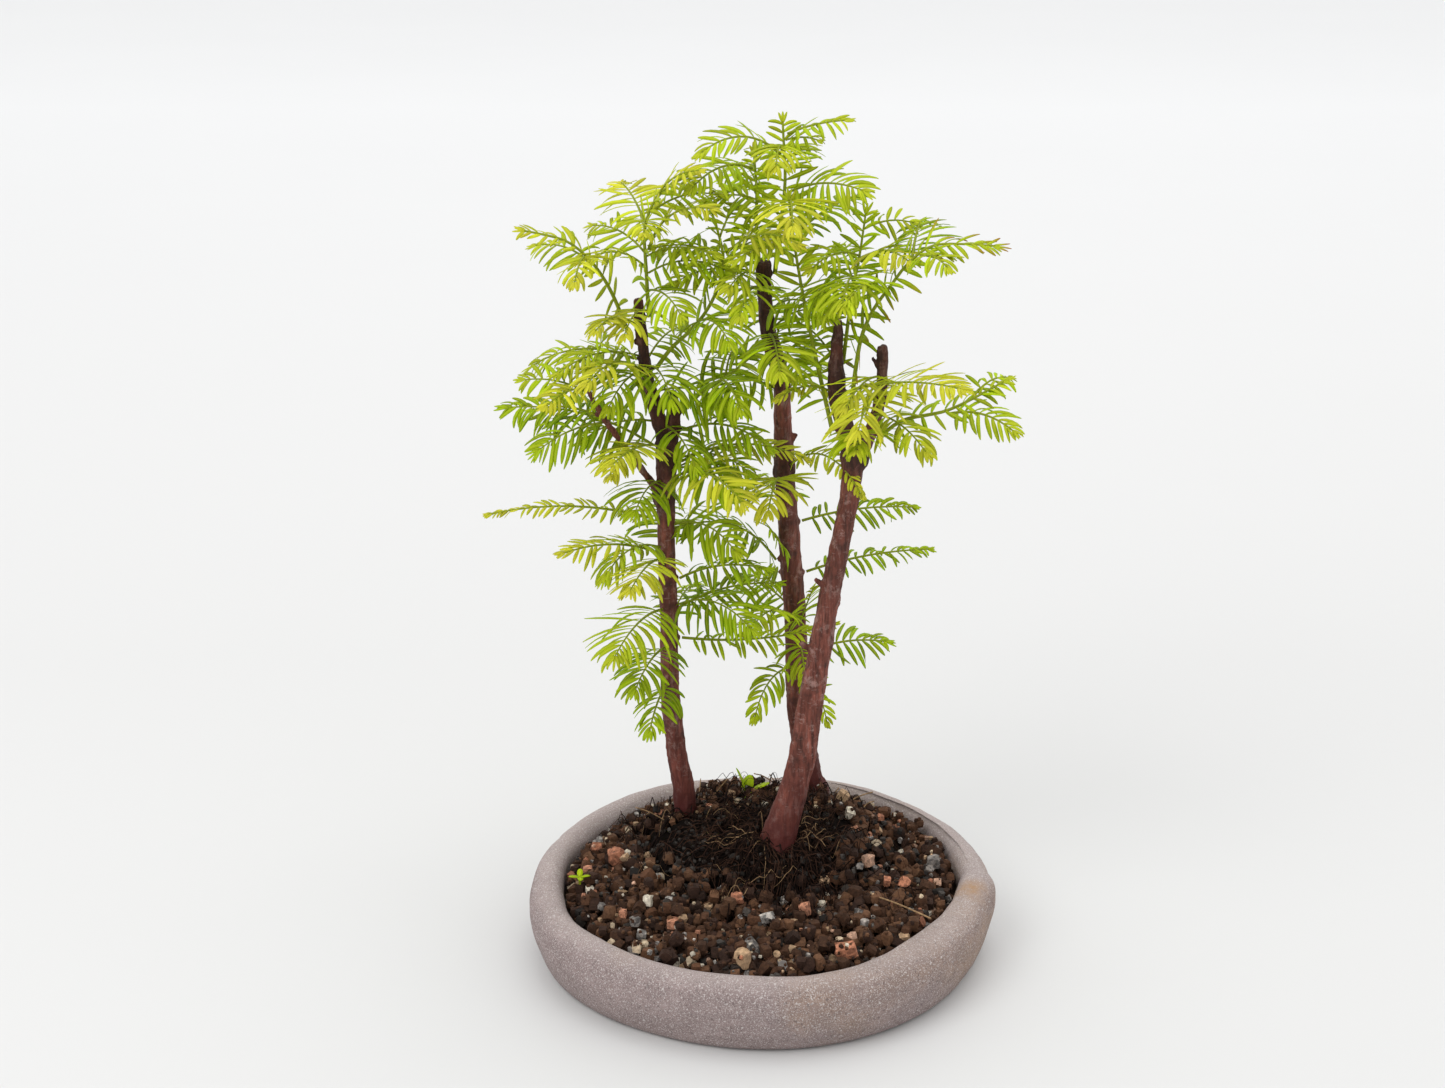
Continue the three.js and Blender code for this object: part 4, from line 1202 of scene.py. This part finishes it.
def arched_spine(foot, bearing, rise, length, arch):
    """A spine that bows up by arch between its foot and its tip, in metres."""
    forward = heading(bearing, rise)
    over = (UP - forward * forward.z).normalized()
    shares = [i / 6 for i in range(7)]
    return Spine([foot + forward * length * a + over * 4 * arch * a * (1 - a) for a in shares], steps=3), over


def build_tufts(chosen, looks):
    template = leaflet_template()
    for index, (name, rows) in enumerate(TUFTS.items()):
        rng, bm, twigs = random.Random(500 + index), leafy_bmesh(template), []
        for node, tufts in rows:
            copy = merged_copy(node)
            skin = BVHTree.FromBMesh(copy)
            copy.free()
            for near_by, bearing, rise, length, span, arch, age in tufts:
                foot = skin.find_nearest(Vector(near_by) * MM + heading(bearing, rise) * 3 * MM)[0]
                spine, face = arched_spine(foot, bearing, rise, length * MM, arch * MM)
                add_ranks(
                    bm, template, rng, spine, face, span / 2 * MM, chosen, age=age, droop=1.0 - 0.4 * age
                )
                twigs.append((spine, 0.45 * MM, 0.25 * MM))
        add_twigs(bm, twigs, 0.1)
        finished(name, mesh_of(bm, name), looks)


# ---------------------------------------------------------------- the weed seedlings


# Leaves of the seedling behind the trunks and of a tiny one at the left: bearing, rise and length in mm.
SEEDLING_LEAVES = [(180, 84, 12), (-10, 44, 11), (-60, 5, 8), (60, 75, 8)]
TINY_LEAVES = [(200, 25, 4.5), (-20, 30, 4.5), (90, 40, 4), (-80, 20, 4)]


def add_seedling_leaves(bm, template, rng, crown, leaves, half_width):
    """Broad leaves that spread from the top of a stalk."""
    for bearing, rise, length in leaves:
        along = heading(bearing, rise)
        level = along.cross(UP).normalized()
        traits = {"age": rng.uniform(0.3, 0.5), "shade": 0.6, "tip_red": 0.0}
        add_leaflet(
            bm, template, crown, along, UP, level.cross(along), length * MM, half_width * MM, 0.45, 0, traits
        )


def build_seedlings(looks):
    template = leaflet_template()
    low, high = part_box("weed_seedling")
    middle = (low + high) / 2
    rng, bm = random.Random(8), leafy_bmesh(template)
    foot = Vector((middle.x - 1 * MM, middle.y - 5 * MM, low.z))
    crown = Vector((middle.x, middle.y - 7 * MM, high.z - 8 * MM))
    tiny_foot = Vector((-68, -6, 26)) * MM
    tiny_crown = tiny_foot + Vector((0, 0, 4.5 * MM))
    add_seedling_leaves(bm, template, rng, crown, SEEDLING_LEAVES, 2.9)
    add_seedling_leaves(bm, template, rng, tiny_crown, TINY_LEAVES, 1.3)
    stalks = [Spine([a, a.lerp(b, 0.5), b]) for a, b in ((foot, crown), (tiny_foot, tiny_crown))]
    add_twigs(bm, [(stalk, 0.6 * MM, 0.5 * MM) for stalk in stalks], 0)
    finished("seedlings", mesh_of(bm, "seedlings"), looks, ["weed_seedling"])


# ---------------------------------------------------------------- the stage


# Each light: its place, its size in metres and its power in watts.
LIGHTS = {
    "window_light": ((-1.3, -1.2, 1.9), 1.4, 19),
    "ceiling_light": ((0.5, 0.3, 2.2), 2.0, 13),
}
LIT_PLACE = Vector((0, 0, 0.15))
PALER_FROM, PALEST_AT = 0.3, 2.2  # how far behind the planting the floor turns paler, in metres


def build_stage(chosen):
    bm = bmesh.new()
    bmesh.ops.create_grid(bm, x_segments=1, y_segments=1, size=12)
    floor = linked("floor", mesh_of(bm, "floor"))
    f = Finish("pale_floor")
    back = f.coordinate(1)
    tone = f.mix(f.spread(back, PALER_FROM, PALEST_AT), tuple(chosen.floor), tuple(chosen.far))
    tone = f.mix(f.spread(f.noise(3, 3), 0.3, 0.7, 0, 0.02), tone, (0.5, 0.5, 0.5))
    floor.data.materials.append(f.done(f.surface(Base_Color=tone, Roughness=0.55, Specular_IOR_Level=0.25)))

    world = bpy.data.worlds.new("white_room")
    world.use_nodes = True
    background = world.node_tree.nodes["Background"]
    background.inputs["Color"].default_value = (1, 1, 1, 1)
    background.inputs["Strength"].default_value = chosen.sky
    bpy.context.scene.world = world

    for name, (place, size, power) in LIGHTS.items():
        light = bpy.data.lights.new(name, "AREA")
        light.size, light.energy = size, power
        lamp = bpy.data.objects.new(name, light)
        bpy.context.scene.collection.objects.link(lamp)
        lamp.location = place
        lamp.rotation_euler = (Vector(place) - LIT_PLACE).to_track_quat("Z", "Y").to_euler()

    camera = bpy.data.objects.new("camera", bpy.data.cameras.new("camera"))
    bpy.context.scene.collection.objects.link(camera)
    camera.location = chosen.camera
    camera.rotation_euler = (math.radians(90) - chosen.tilt, 0, 0)
    camera.data.lens, camera.data.sensor_width = chosen.lens, 36
    camera.data.clip_start, camera.data.clip_end = 0.01, 60
    bpy.context.scene.camera = camera
    bpy.context.scene.view_settings.view_transform = "Standard"


# ---------------------------------------------------------------- operators


def leaf_looks():
    """The leaflets' and the twigs' material, made once and shared by all leafy pieces."""
    made = [bpy.data.materials.get(name) for name in ("leaflets", "green_twig")]
    return made if all(made) else [leaf_material(), twig_material()]


class StageOperator(bpy.types.Operator):
    """Set up the floor, the light and the camera"""

    bl_idname = "bonsai.add_stage"
    bl_label = "Stage"

    def execute(self, context):
        build_stage(settings("stage"))
        return {"FINISHED"}


class DishOperator(bpy.types.Operator):
    """Build the stoneware dish"""

    bl_idname = "bonsai.add_dish"
    bl_label = "Dish"

    def execute(self, context):
        build_dish(settings("dish"))
        return {"FINISHED"}


class DrainMeshOperator(bpy.types.Operator):
    """Build the plastic mesh over the drain holes"""

    bl_idname = "bonsai.add_drain_mesh"
    bl_label = "Drain Mesh"

    def execute(self, context):
        build_drain_mesh()
        return {"FINISHED"}


class SoilOperator(bpy.types.Operator):
    """Build the packed soil, the root mound, the loose grains and the roots that lie on them"""

    bl_idname = "bonsai.add_soil"
    bl_label = "Soil"

    def execute(self, context):
        build_soil(settings("soil"))
        return {"FINISHED"}


class TrunksOperator(bpy.types.Operator):
    """Build the three trunks"""

    bl_idname = "bonsai.add_trunks"
    bl_label = "Trunks"

    def execute(self, context):
        build_trunks(settings("trunk"))
        return {"FINISHED"}


class SpraysOperator(bpy.types.Operator):
    """Build the leaf sprays, one for each CAD blade"""

    bl_idname = "bonsai.add_sprays"
    bl_label = "Sprays"

    def execute(self, context):
        build_sprays(settings("leaf"), leaf_looks())
        return {"FINISHED"}


class ShootsOperator(bpy.types.Operator):
    """Build the soft shoots of this year"""

    bl_idname = "bonsai.add_shoots"
    bl_label = "Shoots"

    def execute(self, context):
        build_shoots(settings("leaf"), leaf_looks())
        return {"FINISHED"}


class TuftsOperator(bpy.types.Operator):
    """Build the small sprays that fill the crowns"""

    bl_idname = "bonsai.add_tufts"
    bl_label = "Tufts"

    def execute(self, context):
        build_tufts(settings("leaf"), leaf_looks())
        return {"FINISHED"}


class SeedlingsOperator(bpy.types.Operator):
    """Build the weed seedlings"""

    bl_idname = "bonsai.add_seedlings"
    bl_label = "Seedlings"

    def execute(self, context):
        build_seedlings(leaf_looks())
        return {"FINISHED"}


OPERATORS = [
    StageOperator, DishOperator, DrainMeshOperator, SoilOperator, TrunksOperator, SpraysOperator,
    ShootsOperator, TuftsOperator, SeedlingsOperator,
]


class BonsaiPanel(bpy.types.Panel):
    """Lists the pieces of the bonsai"""

    bl_idname = "VIEW3D_PT_bonsai"
    bl_label = "Forest Bonsai"
    bl_space_type = "VIEW_3D"
    bl_region_type = "UI"
    bl_category = "Bonsai"

    def draw(self, context):
        for operator in OPERATORS:
            self.layout.operator(operator.bl_idname)
        for name, group in SETTINGS.items():
            box = self.layout.box()
            box.label(text=group.__doc__)
            for key in group.__annotations__:
                box.prop(settings(name), key)


CLASSES = [*SETTINGS.values(), *OPERATORS, BonsaiPanel]


def register():
    for cls in CLASSES:
        bpy.utils.register_class(cls)
    for name, group in SETTINGS.items():
        setattr(bpy.types.Scene, f"bonsai_{name}", PointerProperty(type=group))


def unregister():
    for name in SETTINGS:
        delattr(bpy.types.Scene, f"bonsai_{name}")
    for cls in reversed(CLASSES):
        bpy.utils.unregister_class(cls)


def main():
    register()
    for operator in OPERATORS:
        group, call = operator.bl_idname.split(".")
        getattr(getattr(bpy.ops, group), call)()


if __name__ == "__main__":
    main()
